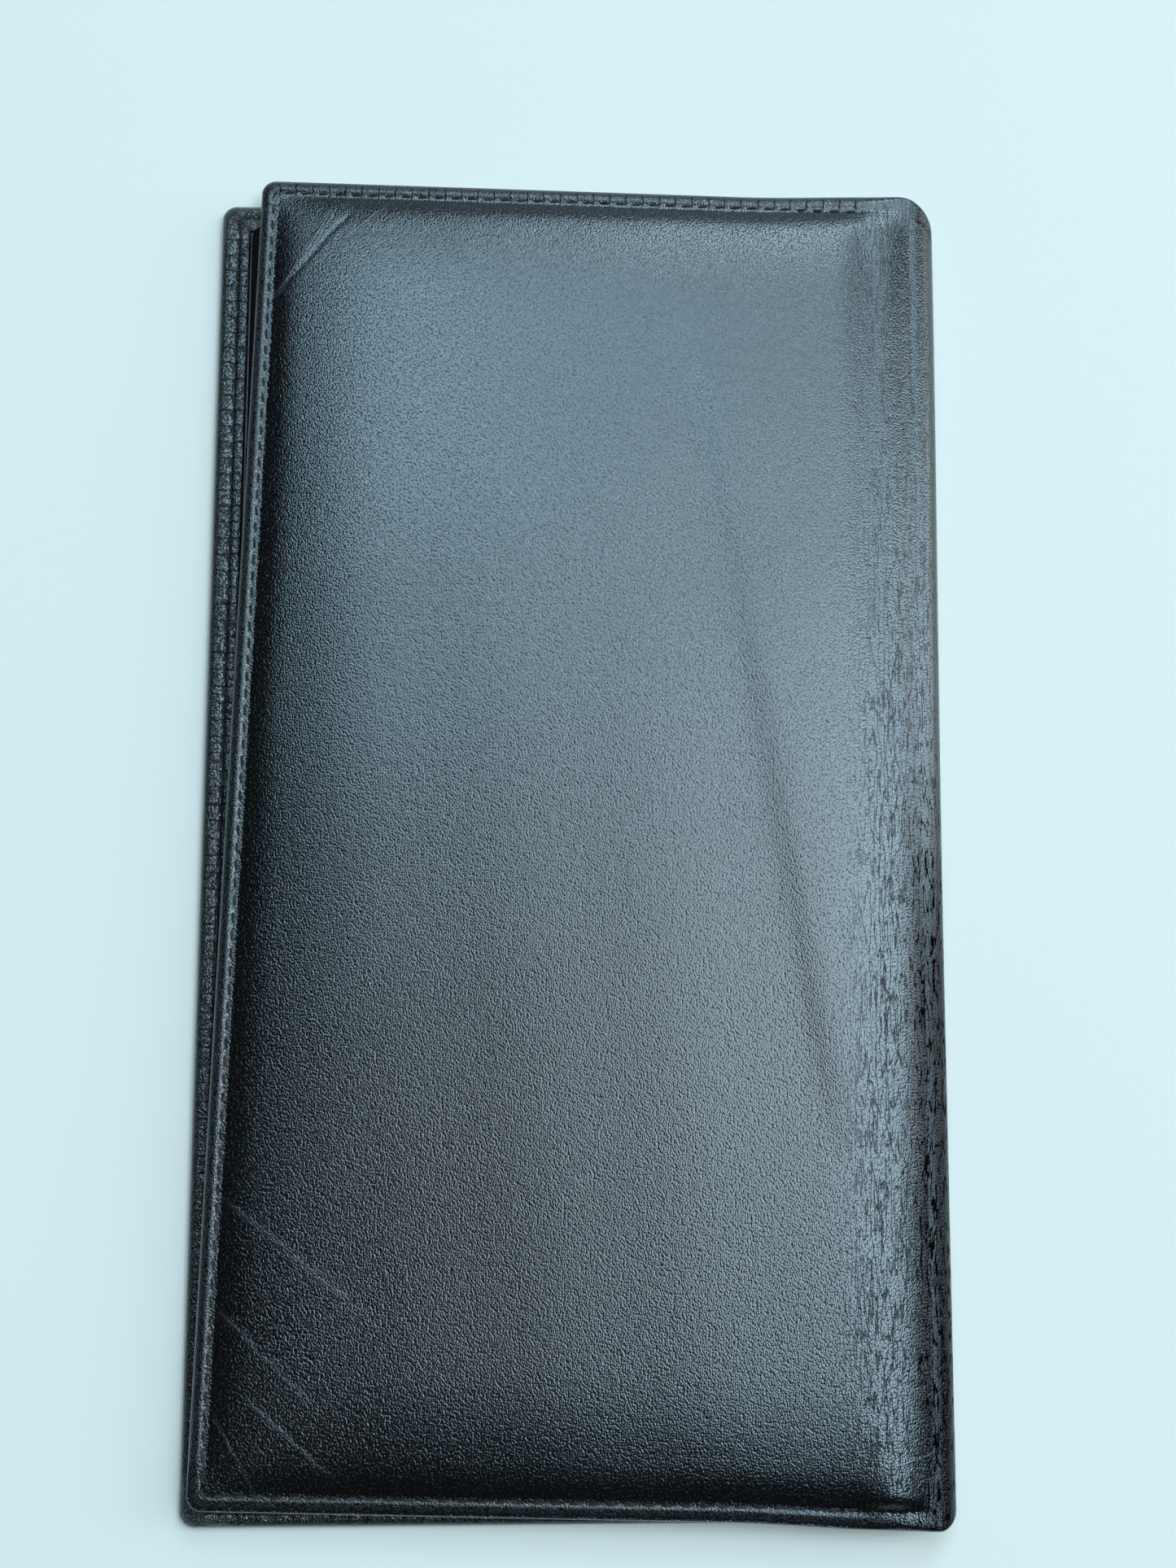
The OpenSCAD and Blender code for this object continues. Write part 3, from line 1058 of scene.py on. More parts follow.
@dataclass
class Padding:
    """Felt pad that crowns the front: full in the middle and thin towards every side."""

    rise: float = 1.7
    dome: float = 0.7
    margin: float = 2.5
    slope: float = 19.0
    fullness: float = 2.9
    foot: float = 4.5
    foot_share: float = 0.2
    fold_margin: float = 0.3
    fold_slope: float = 14.0
    foot_fill: float = 0.8

    def crown(self, cover: Cover, u: Array, v: Array) -> Array:
        """Height of the crown: the rise times a round shoulder in from each side, and a shallow dome.

        A shoulder is steepest at its foot and level at its top: 1 less a power of the share that is left to
        the top, with a share of it in a short steep foot. At the fold's foot the end's shoulder is partly
        filled. The dome is a parabola across times a parabola up the cover.

        Args:
            cover: the front.
            u: place across.
            v: place up the cover.

        Returns:
            The height above the plane of the margin.
        """

        def shoulder(inset: Array, start: float, reach: float) -> Array:
            """Share of the rise beside a side.

            Args:
                inset: distance in from the side.
                start: inset of the shoulder's foot.
                reach: width of the shoulder.

            Returns:
                The share, from 0 to 1.
            """
            long = 1.0 - (1.0 - np.clip((inset - start) / reach, 0.0, 1.0)) ** self.fullness
            short = 1.0 - (1.0 - np.clip((inset - start) / self.foot, 0.0, 1.0)) ** 2
            return long + (short - long) * self.foot_share

        free = shoulder(u + cover.width, self.margin, self.slope)
        hinge = shoulder(cover.fold_at(v) - u, self.fold_margin, self.fold_slope)
        end_inset = cover.half_height - np.abs(v)
        ends = shoulder(end_inset, self.margin, self.slope)
        at_foot = bell(u - cover.fold_at(v), -4.5, 4.0) * ease(-v, 60.0, 80.0) * ease(end_inset, 2.2, 4.2)
        ends = ends + (1.0 - ends) * self.foot_fill * at_foot
        across = np.clip(1.0 - (2.0 * u / cover.width + 1.0) ** 2, 0.0, 1.0)
        along = np.clip(1.0 - (v / cover.half_height) ** 2, 0.0, 1.0)
        return self.rise * free * hinge * ends + self.dome * across * along * np.minimum(free, ends)

    def build(self, cover: Cover, finish: Material) -> Piece:
        """Makes the pad between the board and the leather.

        Args:
            cover: the front.
            finish: the pad's material.

        Returns:
            The pad.
        """
        u_lines = lines(-cover.width + self.margin, -self.fold_margin, 1.6, (0.2, 0.8))
        v_half = cover.half_height - self.margin
        u, v = np.meshgrid(u_lines, lines(-v_half, v_half, 2.0, (0.2, 0.8)), indexing="ij")
        u = u + cover.fold_at(v) * (u - u_lines[0]) / (u_lines[-1] - u_lines[0])
        height = self.crown(cover, u, v)
        full = clear_rim(height)
        board = cover.leather
        points, faces = slab(cover.place(u, v, board - full * 0.99), cover.place(u, v, board - 0.02 * full))
        pad = make_piece("padding", points, faces, finish)
        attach(pad, cover.side.value)
        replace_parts(pad, "front_padding")
        return pad


@dataclass
class Seam:
    """A row of lockstitches inside a cover's edge, from the fold round the free edge to the fold again."""

    side_inset: float = 2.4
    end_inset: float = 2.0
    head_gutter: float = 7.2
    foot_gutter: float = 9.3
    pitch: float = 2.3
    slant_deg: float = 5.0
    turn: float = 0.6
    turn_points: int = 9

    def path(self, cover: Cover) -> tuple[Array, Array]:
        """Points and lengths along the seam: two straights, a round corner at each end of the long one.

        Args:
            cover: the cover that is sewn.

        Returns:
            The points as n by 2 places on the cover, and the way along at each.
        """
        r = self.turn
        left, top = -cover.width + self.side_inset, cover.half_height - self.end_inset
        angle = np.linspace(0.0, math.pi / 2, self.turn_points)
        low = np.stack([left + r - r * np.sin(angle), -top + r - r * np.cos(angle)], axis=1)
        high = np.stack([low[::-1, 0], -low[::-1, 1]], axis=1)
        first = [float(cover.fold_at(-top)) - self.foot_gutter, -top]
        last = [float(cover.fold_at(top)) - self.head_gutter, top]
        points = np.concatenate([[first], low, high, [last]])
        return points, path_way(points)

    def bends(self, cover: Cover) -> tuple[float, float]:
        """Ways along the seam to the middles of its two corners."""
        way, middle = self.path(cover)[1], (self.turn_points + 1) // 2
        return float(way[middle]), float(way[middle + self.turn_points])

    def spacing(self, cover: Cover) -> float:
        """The pitch that fits a whole number of stitches into the seam."""
        length = self.path(cover)[1][-1]
        return length / int(length // self.pitch)

    def inset_at(self, cover: Cover, u: Array, v: Array) -> Array:
        """The seam's inset beside a place: the free side's, going over to the ends' at the corners."""
        nearer = (u + cover.width) - (cover.half_height - np.abs(v))
        return self.side_inset + (self.end_inset - self.side_inset) * ease(nearer, -1.5, 1.5)

    def sewn(self, cover: Cover, u: Array, v: Array) -> Array:
        """1 where the edge is sewn, going to 0 where the seam ends before the fold."""
        gutter = np.where(np.asarray(v) > 0, self.head_gutter, self.foot_gutter)
        return ease(u - cover.fold_at(v) + gutter, 1.2, 0.0)

    def along(self, cover: Cover, u: Array, v: Array) -> Array:
        """Way along the seam of the place nearest to a point, side by side with the seam's three straights.

        Args:
            cover: the cover that is sewn.
            u: place across.
            v: place up the cover.

        Returns:
            The way along, in millimetres.
        """
        points, way = self.path(cover)
        to_side = u + cover.width
        to_end = cover.half_height - np.abs(v)
        foot_end, side_start, head_start = 1, self.turn_points, 2 * self.turn_points
        side = way[side_start] + (v - points[side_start, 1])
        foot = way[foot_end] - (u - points[foot_end, 0])
        head = way[head_start] + (u - points[head_start, 0])
        return np.where(to_side < to_end, side, np.where(v < 0, foot, head))

    def stitches(
        self, cover: Cover, level: Callable[[Array, Array], Array], outward: float
    ) -> tuple[Array, list]:
        """All stitches of one face as one mesh, each with a slant and a height of its own.

        Args:
            cover: the cover that is sewn.
            level: depth of the sewn face at a place.
            outward: -1 where the face is the outer one, 1 for the inner one.

        Returns:
            Points and faces.
        """
        points, way = self.path(cover)
        step = self.spacing(cover)
        count = round(way[-1] / step)
        middle = (np.arange(count) + 0.5) * step
        span = on_path(points, way, middle + 0.3) - on_path(points, way, middle - 0.3)
        straight = span / np.linalg.norm(span, axis=1, keepdims=True)
        rng = np.random.default_rng(11)
        slant = np.radians(self.slant_deg + rng.normal(0.0, 2.0, count))[:, None]
        run = straight * np.cos(slant) + np.stack([-straight[:, 1], straight[:, 0]], axis=1) * np.sin(slant)
        u, v, height, faces = Stitch().row(on_path(points, way, middle), run)
        height = height * rng.uniform(0.85, 1.1, (count, 1, 1))
        return cover.place(u, v, level(u, v) + outward * height).reshape(-1, 3), faces


@dataclass
class CoverLeather:
    """The leather of one cover: face, rounded edge and turned-in hem in one cut, and its half of the spine.

    The blank is a grid. Rings of it follow the outline: from the face round the edge, over the hem, down its
    cut edge and back under it to the leather's own inner face, which closes the shell.
    """

    cover: Cover
    seam: Seam
    padding: Optional[Padding] = None
    step: float = 0.575
    zone: float = 3.4
    spine_edge: float = 1.3
    top_round: float = 4.6
    foot_round: float = 2.4
    head_swell: float = 0.75
    foot_swell: float = 0.55
    spine_swell: float = 0.65
    groove: float = 0.15
    ridge: float = 0.045
    hole: float = 0.02
    edge_fall: float = 0.34
    foot_fall: float = 0.5
    wave: float = 0.035
    gutter: float = 0.22
    gutter_at: float = -6.5
    dent: float = 0.10
    dent_at: tuple[float, float] = (-27.4, 44.0)
    dent_lean: float = 0.185
    pillow: tuple[float, float] = (0.09, 0.05)
    pillow_rise: tuple[float, float] = (-0.02, 0.03)
    hem_groove: float = 0.2
    table_gap: float = 0.04

    def rings(self) -> Array:
        """The rim's rings from the face to the inner wall.

        Each ring has an inset a + b r and a depth c + d r, where r is half the edge's thickness, then its way
        along the leather, 1 where it is on the outer face and 1 where it is on the hem.

        Returns:
            Rows of a, b, c, d, way, face and hem.
        """
        cover = self.cover
        r = cover.thickness / 2
        face = np.array([3.4, 3.15, 2.95, 2.75, 2.6, 2.45, 2.3, 2.15, 2.0, 1.8, 1.6, 1.4, 1.2])
        face = (face - r) / (self.zone - r)
        turn = np.radians(np.linspace(0, 180, 15))
        on_face, on_hem = ease(turn, 1.4, 0.2), ease(turn, 1.75, 2.9)
        hem = np.array([0.12, 0.22, 0.32, 0.4, 0.45, 0.5, 0.55, 0.6, 0.68, 0.78, 0.87, 0.965])
        zero, one = np.zeros_like, np.ones_like
        rows = [
            np.stack([self.zone * face, 1 - face, zero(face), zero(face), one(face), zero(face)], axis=1),
            np.stack([zero(turn), 1 - np.sin(turn), zero(turn), 1 - np.cos(turn), on_face, on_hem], axis=1),
            np.stack([cover.hem_width * hem, 1 - hem, zero(hem), 2 * one(hem), zero(hem), one(hem)], axis=1),
            np.array(
                [
                    [cover.hem_width, 0, -cover.hem * 0.25, 2, 0, 1],
                    [cover.hem_width, 0, -cover.hem, 2, 0, 0],
                    [cover.leather, 0, -cover.hem, 2, 0, 0],
                    [cover.leather, 0, cover.leather, 0, 0, 0],
                ]
            ),
        ]
        table = np.concatenate(rows)
        inset, depth = table[:, 0] + table[:, 1] * r, table[:, 2] + table[:, 3] * r
        way = path_way(np.stack([inset, depth], axis=1))
        return np.concatenate([table[:, :4], way[:, None], table[:, 4:]], axis=1)

    def relief(self, u: Array, v: Array, inset: Array) -> Array:
        """Height of the outer face above its plane.

        Both covers have a groove along the seam, steep on its outer side, and a ridge outside it that dips
        at each stitch hole. They fall away to the edge by the square of what is left to it, and more at the
        foot. The front also has the padding's crown, slow waves, a shallow gutter beside the fold, and a long
        dent: a hyperbolic tangent of the distance from a slanting line, which dies away on both sides.

        Args:
            u: place across.
            v: place up the cover.
            inset: distance in from the edge.

        Returns:
            The height, in millimetres.
        """
        cover, seam = self.cover, self.seam
        past = u - cover.fold_at(v)
        sewn, at = seam.sewn(cover, u, v), seam.inset_at(cover, u, v)
        hole = np.cos(seam.along(cover, u, v) * math.pi / seam.spacing(cover)) ** 2
        height = sewn * np.where(inset < at, bell(inset, at, 0.26), ease(inset, at + 3.0, at)) * -self.groove
        height = height + sewn * bell(inset, at - 0.6, 0.26) * (self.ridge - self.hole * hole)
        height = height - self.edge_fall * np.clip(1.0 - inset / 1.7, 0.0, 1.0) ** 2 * ease(past, 0.0, -8.0)
        foot = ease(-v, 82.0, 86.0) * ease(past, -4.0, -12.0)
        height = height - self.foot_fall * np.clip(1.0 - inset / 2.4, 0.0, 1.0) * foot
        if self.padding is None:
            return np.minimum(height, 0.0)
        inside = ease(inset, 3.0, 9.0)
        height = height + self.padding.crown(cover, u, v)
        uneven = waves(u, v, 5, (38.0, 27.0, 19.0, 52.0))
        height = height + inside * ease(past, -3.0, -12.0) * self.wave * uneven
        height = height - self.gutter * bell(past, self.gutter_at, 2.8) * ease(v, -30.0, 40.0) * inside
        aside = u - (self.dent_at[0] - self.dent_lean * (v - self.dent_at[1]))
        reach = ease(v, -50.0, -30.0) * ease(v, 72.0, 55.0)
        return height + reach * self.dent * np.tanh(aside / 1.6) * bell(aside, 0.0, 12.0)

    def hem_relief(self, u: Array, v: Array, inset: Array) -> Array:
        """Height of the hem above its plane: two rows of pillows that the stitches part, and their groove.

        Args:
            u: place across.
            v: place up the cover.
            inset: distance in from the edge.

        Returns:
            The height, in millimetres.
        """
        cover, seam = self.cover, self.seam
        at = seam.inset_at(cover, u, v)
        along = seam.along(cover, u, v)
        pillow = np.sin(along * math.pi / seam.spacing(cover)) ** 2
        uneven = 1.0 + 0.35 * waves(along, inset, 3, (3.7, 5.9, 9.1))
        outer = bell(inset, at - 0.8, 0.6) * (self.pillow[0] * pillow * uneven + self.pillow_rise[0])
        inner = bell(inset, at + 0.8, 0.6) * (self.pillow[1] * pillow * uneven + self.pillow_rise[1])
        return seam.sewn(cover, u, v) * (outer + inner - self.hem_groove * bell(inset, at, 0.24))

    def build(self, name: str, finish: Material) -> Piece:
        """Makes the leather as one closed shell.

        The grid's columns run from the free side's last ring over the face to the middle of the spine, and
        its rows from the foot's last ring to the head's. A point is on the larger of its two ring numbers, so
        that a ring turns at a corner, on an arc. The ring gives its inset and depth, and the reliefs are added.
        At the spine the ends dip by part of a circle. A wall inside and a face at each end close the shell.

        Args:
            name: name of the piece.
            finish: its material.

        Returns:
            The leather.
        """
        cover, fold = self.cover, self.cover.fold
        rings = self.rings()
        last = len(rings) - 1
        free = -cover.width + self.zone
        high = cover.half_height - self.zone
        # Grid lines across: even over the field, closer from a place beside the fold, then round the roll
        near, rest = 0.86, 0.14
        even = np.linspace(0, 1, int(-free * near / self.step)) * near
        share = np.concatenate([even, np.linspace(near, 1, int(-free * rest / 0.4) + 1)[1:]])
        spine = fold.radius * np.radians(np.linspace(0, 90, 25)[1:])
        rows = np.linspace(-high, high, int(2 * high / self.step) + 1)
        ka = np.concatenate([np.arange(last, 0, -1), np.zeros(len(share) + len(spine), int)])[:, None]
        kb = np.concatenate([np.arange(last, 0, -1), np.zeros(len(rows), int), np.arange(1, last + 1)])[None]
        up = np.concatenate([-np.ones(last), np.zeros(len(rows)), np.ones(last)])[None]
        share = np.concatenate([np.zeros(last), share, np.ones(len(spine))])[:, None]
        beyond = np.concatenate([np.zeros(len(ka) - len(spine)), spine])[:, None]
        row_v = np.concatenate([np.full(last, -high), rows, np.full(last, high)])[None]
        k = np.maximum(ka, kb)
        ring = rings[k]
        flat_edge = ease(beyond + (share - 1.0) * -free, -6.0, 0.5)
        half = (cover.thickness + (self.spine_edge - cover.thickness) * flat_edge) / 2 + 0.0 * k
        inset = ring[..., 0] + ring[..., 1] * half
        depth = ring[..., 2] + ring[..., 3] * half
        # Straight sides with the dip at the spine, then the two corners' arcs
        out = fold.radius * np.sin(beyond / fold.radius) + (share - 1.0) * -free
        radius = np.where(up > 0, self.top_round, self.foot_round)
        into = np.clip(out - (fold.radius - radius), 0.0, radius)
        dip = radius - np.sqrt(np.maximum(radius**2 - into**2, 0.0))
        dipped = row_v - dip * ease(np.abs(row_v), high - 9, high) * np.sign(row_v)
        v = np.where(kb > 0, up * (cover.half_height - inset - dip), dipped)
        v = np.where((kb == 0) & (ka > 0), row_v, v)
        u = np.where(ka > 0, -cover.width + inset, free + share * (cover.fold_at(v) - free) + beyond)
        corner = (ka > 0) & (kb > 0)
        arc = np.maximum(cover.corner * (1.0 - inset / self.zone), 0.3)
        small, large = np.minimum(ka, kb), np.maximum(np.maximum(ka, kb), 1)
        angle = np.where(ka >= kb, 1.0, -1.0) * np.radians(45.0) * small / large
        angle = angle + np.where(ka >= kb, 0.0, np.radians(90.0))
        u = np.where(corner, -cover.width + inset + arc * (1 - np.cos(angle)), u)
        v = np.where(corner, up * (cover.half_height - inset - arc * (1 - np.sin(angle))), v)
        deep = np.minimum(u + cover.width, cover.half_height - np.abs(v))
        inset = np.where(k > 0, inset, np.maximum(deep, inset))
        depth = depth - self.relief(u, v, inset) * ring[..., 5] + self.hem_relief(u, v, inset) * ring[..., 6]
        # The roll stands proud towards its head, where it has been bent most
        past = u - cover.fold_at(v)
        depth = depth - self.spine_swell * ease(v, -20.0, high) * ease(past, 0.0, fold.radius * math.pi / 2)
        v = v + self.head_swell * ease(past, -24.0, -1.0) * ease(v, high - 14.0, high)
        v = v - self.foot_swell * ease(past, -26.0, -6.0) * ease(-v, high - 9.0, high)
        points = cover.place(u, v, depth)
        # Faces of the grid, of the wall inside, and of the two ends
        columns, count = points.shape[:2]
        index = np.arange(columns * count).reshape(columns, count)
        before, after = index[last:-1], index[last + 1 :]
        inner = np.stack([before[:, 0], before[:, -1], after[:, -1], after[:, 0]], axis=1)
        faces = grid_faces(columns, count).tolist() + inner.tolist()
        edge = np.concatenate([index[last:0:-1, 0], index[0], index[1 : last + 1, -1]])
        faces += [edge.tolist(), index[-1].tolist()]
        # Values for the material
        cut_u = np.where(ka > 0, free - rings[ka, 4], u)
        cut_v = np.where(kb > 0, up * (high + rings[kb, 4]), v)
        values = {
            "blank": (cut_u, cut_v, u - cover.fold_at(v)),
            "seam": (self.seam.along(cover, u, v), inset + 0.0 * u, ring[..., 5]),
        }
        kept = {key: np.stack(np.broadcast_arrays(*v3), axis=-1).reshape(-1, 3) for key, v3 in values.items()}
        leather = make_piece(name, points.reshape(-1, 3), faces, finish, kept)
        cover.bend(leather)
        return leather

    def sew(self, name: str, node: str, finish: Material) -> list[Piece]:
        """Makes the needle row on the face and the bobbin row on the hem.

        Args:
            name: start of the rows' names.
            node: CAD node that the rows stand for.
            finish: the thread's material.

        Returns:
            The two rows.
        """
        cover, seam = self.cover, self.seam

        def face(u: Array, v: Array) -> Array:
            """Depth of the outer face in the seam's groove."""
            return -self.relief(u, v, seam.inset_at(cover, u, v))

        def hem(u: Array, v: Array) -> Array:
            """Depth of the hem's face, a little into it."""
            return np.full_like(u, cover.thickness - 0.2)

        rows = []
        for part, level, outward in (("needle", face, -1.0), ("bobbin", hem, 1.0)):
            points, faces = seam.stitches(cover, level, outward)
            if part == "needle" and cover.side is Side.BACK:
                points[:, 2] = np.maximum(points[:, 2], self.table_gap * MM)
            row = make_piece(f"{name}_{part}_stitches", points, faces, finish)
            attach(row, cover.side.value)
            rows.append(row)
        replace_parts(rows[0], node)
        return rows


@dataclass
class FlatSheet:
    """A thin rectangular sheet on a cover, with rounded edges: board, panel, pocket or leaf."""

    cover: Cover
    left: float
    right: float
    low: float
    high: float
    depth: float
    thickness: float
    corner: float = 0.6
    to_fold: bool = False
    notch: float = 0.0

    def shape(self, lift: Callable[[Array, Array], Array], step: float = 3.0) -> tuple[Array, Array]:
        """Points and quads of the sheet.

        Its half thickness follows a quarter circle at the rim. Corner squares are drawn in to quarter rounds,
        a side that goes to the fold leans with it, and a notch takes a round bite from the upper side.

        Args:
            lift: added depth at a place.
            step: spacing of the grid.

        Returns:
            The points and the faces.
        """
        t = self.thickness
        rim = (0.03 * t, 0.12 * t, 0.3 * t, 0.6 * t)
        u_lines = lines(self.left, self.right, step if not self.notch else 0.8, rim)
        v_lines = lines(self.low, self.high, step, rim)
        u, v = np.meshgrid(u_lines, v_lines, indexing="ij")
        edge = np.minimum(np.minimum(u - self.left, self.right - u), np.minimum(v - self.low, self.high - v))
        half = t / 2 * np.sqrt(1.0 - (1.0 - np.clip(edge / (0.6 * t), 0, 1)) ** 2)
        du = np.maximum(np.maximum(self.left + self.corner - u, u - self.right + self.corner), 0.0)
        dv = np.maximum(np.maximum(self.low + self.corner - v, v - self.high + self.corner), 0.0)
        pull = np.maximum(du, dv) / np.maximum(np.hypot(du, dv), 1e-9)
        both = (du > 0) & (dv > 0)
        u = np.where(both, u - np.sign(u - (self.left + self.right) / 2) * du * (1 - pull), u)
        v = np.where(both, v - np.sign(v - (self.low + self.high) / 2) * dv * (1 - pull), v)
        if self.notch:
            bite = np.sqrt(np.maximum(self.notch**2 - (u - (self.left + self.right) / 2) ** 2, 0.0))
            v = self.low + (v - self.low) * (1.0 - bite / (self.high - self.low))
        if self.to_fold:
            u = u + self.cover.fold_at(v) * (u - self.left) / (self.right - self.left)
        middle = self.depth + t / 2 + lift(u, v)
        return slab(self.cover.place(u, v, middle - half), self.cover.place(u, v, middle + half))

    def build(
        self,
        name: str,
        nodes: Sequence[str],
        finish: Material,
        slot: Slot,
        lift: Callable[[Array, Array], Array] = lambda u, v: 0.0 * u,
        step: float = 3.0,
    ) -> Piece:
        """Makes the sheet and puts it in the place of its CAD nodes.

        Args:
            name: name of the piece.
            nodes: CAD nodes that it stands for.
            finish: its material.
            slot: the record's slot; not used.
            lift: added depth at a place.
            step: spacing of the grid.

        Returns:
            The sheet.
        """
        points, faces = self.shape(lift, step)
        piece = make_piece(name, points, faces, finish)
        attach(piece, self.cover.side.value)
        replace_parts(piece, *nodes)
        return piece


@dataclass
class Lining:
    """Twill lining of one cover, which runs on over the inside of the spine to its middle."""

    cover: Cover
    inset: float = 0.9
    depth: float = 1.15
    spine_depth: float = 0.82
    cloth: float = 0.15
    end_inset: float = 3.2

    def build(self, name: str, nodes: Sequence[str], finish: Material) -> Piece:
        """Makes the lining: level on the board, then a little lower round the roll.

        Args:
            name: name of the piece.
            nodes: CAD nodes that it stands for.
            finish: the cloth's material.

        Returns:
            The lining.
        """
        cover, fold = self.cover, self.cover.fold
        left = -cover.width + self.inset
        spine = fold.radius * math.pi / 2
        u_flat = lines(left, 0.0, 3.0, (0.05, 0.15))
        u_line = np.concatenate([u_flat[:-1], np.linspace(0.0, spine, 15)])
        v_half = cover.half_height - self.inset
        u, v = np.meshgrid(u_line, lines(-v_half, v_half, 4.0, (0.05, 0.15)), indexing="ij")
        narrow = ease(u, -4.0, -1.0)
        v = v * (1.0 - narrow * (self.end_inset - self.inset) / v_half)
        u = u + cover.fold_at(v) * np.clip((u - left) / -left, 0.0, 1.0)
        sunk = ease(u - cover.fold_at(v), -3.0, 0.0)
        level = self.depth + (self.spine_depth - self.depth) * sunk + self.cloth / 2
        half = clear_rim(np.full(u.shape, self.cloth / 2))
        points, faces = slab(cover.place(u, v, level - half), cover.place(u, v, level + half))
        piece = make_piece(name, points, faces, finish)
        cover.bend(piece)
        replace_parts(piece, *nodes)
        return piece


@dataclass
class CardBank:
    """The card page of the back: a panel, leaves that overlap like shingles, and welts under their ends."""

    cover: Cover
    flatten: float = 0.62
    leaf: float = 0.3
    tuck: float = 0.8
    count: int = 5

    def build(self, finish: Material) -> list[Piece]:
        """Makes the page's pieces, each in the box of its CAD node.

        Args:
            finish: the pages' leather.

        Returns:
            The pieces.
        """
        cover, fold = self.cover, self.cover.fold
        made = [self._panel(finish)]
        for i in range(1, self.count + 1):
            node = f"card_leaf_{i}"
            (left, foot, base), (right, mouth, top) = box_mm(node)
            slope = (top - base - self.leaf) * self.flatten / (mouth - foot)
            foot_v = foot - fold.y

            def lift(u: Array, v: Array, slope: float = slope, foot_v: float = foot_v, i: int = i) -> Array:
                """Rise from the foot, a pressed line below the mouth, and a slight wave.

                Args:
                    u: place across.
                    v: place up the cover.
                    slope: rise for each millimetre up.
                    foot_v: place of the leaf's foot.
                    i: number of the leaf.

                Returns:
                    The added depth.
                """
                mouth_v = foot_v + mouth - foot
                wave = 0.04 * np.sin(u * 0.11 + i * 1.7) * ease(v, foot_v, mouth_v)
                return (v - foot_v) * slope + wave - 0.05 * bell(v, mouth_v - 2.4, 0.3)

            left, right = left + self.tuck - fold.x, right - fold.x
            leaf = FlatSheet(cover, left, right, foot_v, mouth - fold.y, base, self.leaf, corner=1.8)
            name = node.replace("card_", "card_page_")
            made.append(leaf.build(name, [node], finish, Slot.PAGE, lift, 0.75))
        for node in ("pocket_welt_left", "pocket_welt_right"):
            made.append(self._welt(node, finish))
        return made

    def _panel(self, finish: Material) -> Piece:
        """The panel under the leaves, tucked beneath the hem.

        Args:
            finish: the pages' leather.

        Returns:
            The panel.
        """
        (left, low, base), (right, high, top) = box_mm("card_base_panel")
        f = self.cover.fold
        sides = (left - f.x, right - f.x, low - f.y, high - f.y)
        sheet = FlatSheet(self.cover, *sides, base, top - base, corner=0.6)
        return sheet.build("card_panel", ["card_base_panel"], finish, Slot.PAGE)

    def _welt(self, node: str, finish: Material) -> Piece:
        """A strip under the leaves' ends: a saw-tooth with one tooth to each leaf.

        Args:
            node: CAD node that it stands for, which gives its name too.
            finish: the pages' leather.

        Returns:
            The strip.
        """
        (left, low, base), (right, high, top) = box_mm(node)
        f = self.cover.fold
        leaf_low, leaf_high = box_mm("card_leaf_1")
        length = leaf_high[1] - leaf_low[1]
        pitch = (high - low - length) / (self.count - 1)
        rise = (top - base) * self.flatten
        v = np.linspace(low, high, 260)
        tooth = np.where(v < leaf_high[1], v - low, length - pitch + (v - leaf_high[1]) % pitch)
        height = np.minimum(rise * tooth / length, rise) * 0.97
        if node.endswith("left"):
            left = left + self.tuck
        across = np.array([left, left + 0.12, right - 0.12, right]) - f.x
        u, v = np.meshgrid(across, v - f.y, indexing="ij")
        full = clear_rim(np.ones(u.shape) * height)
        level = np.full(u.shape, base)
        points, faces = slab(self.cover.place(u, v, level + full), self.cover.place(u, v, level))
        piece = make_piece(node, points, faces, finish)
        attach(piece, self.cover.side.value)
        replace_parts(piece, node)
        return piece


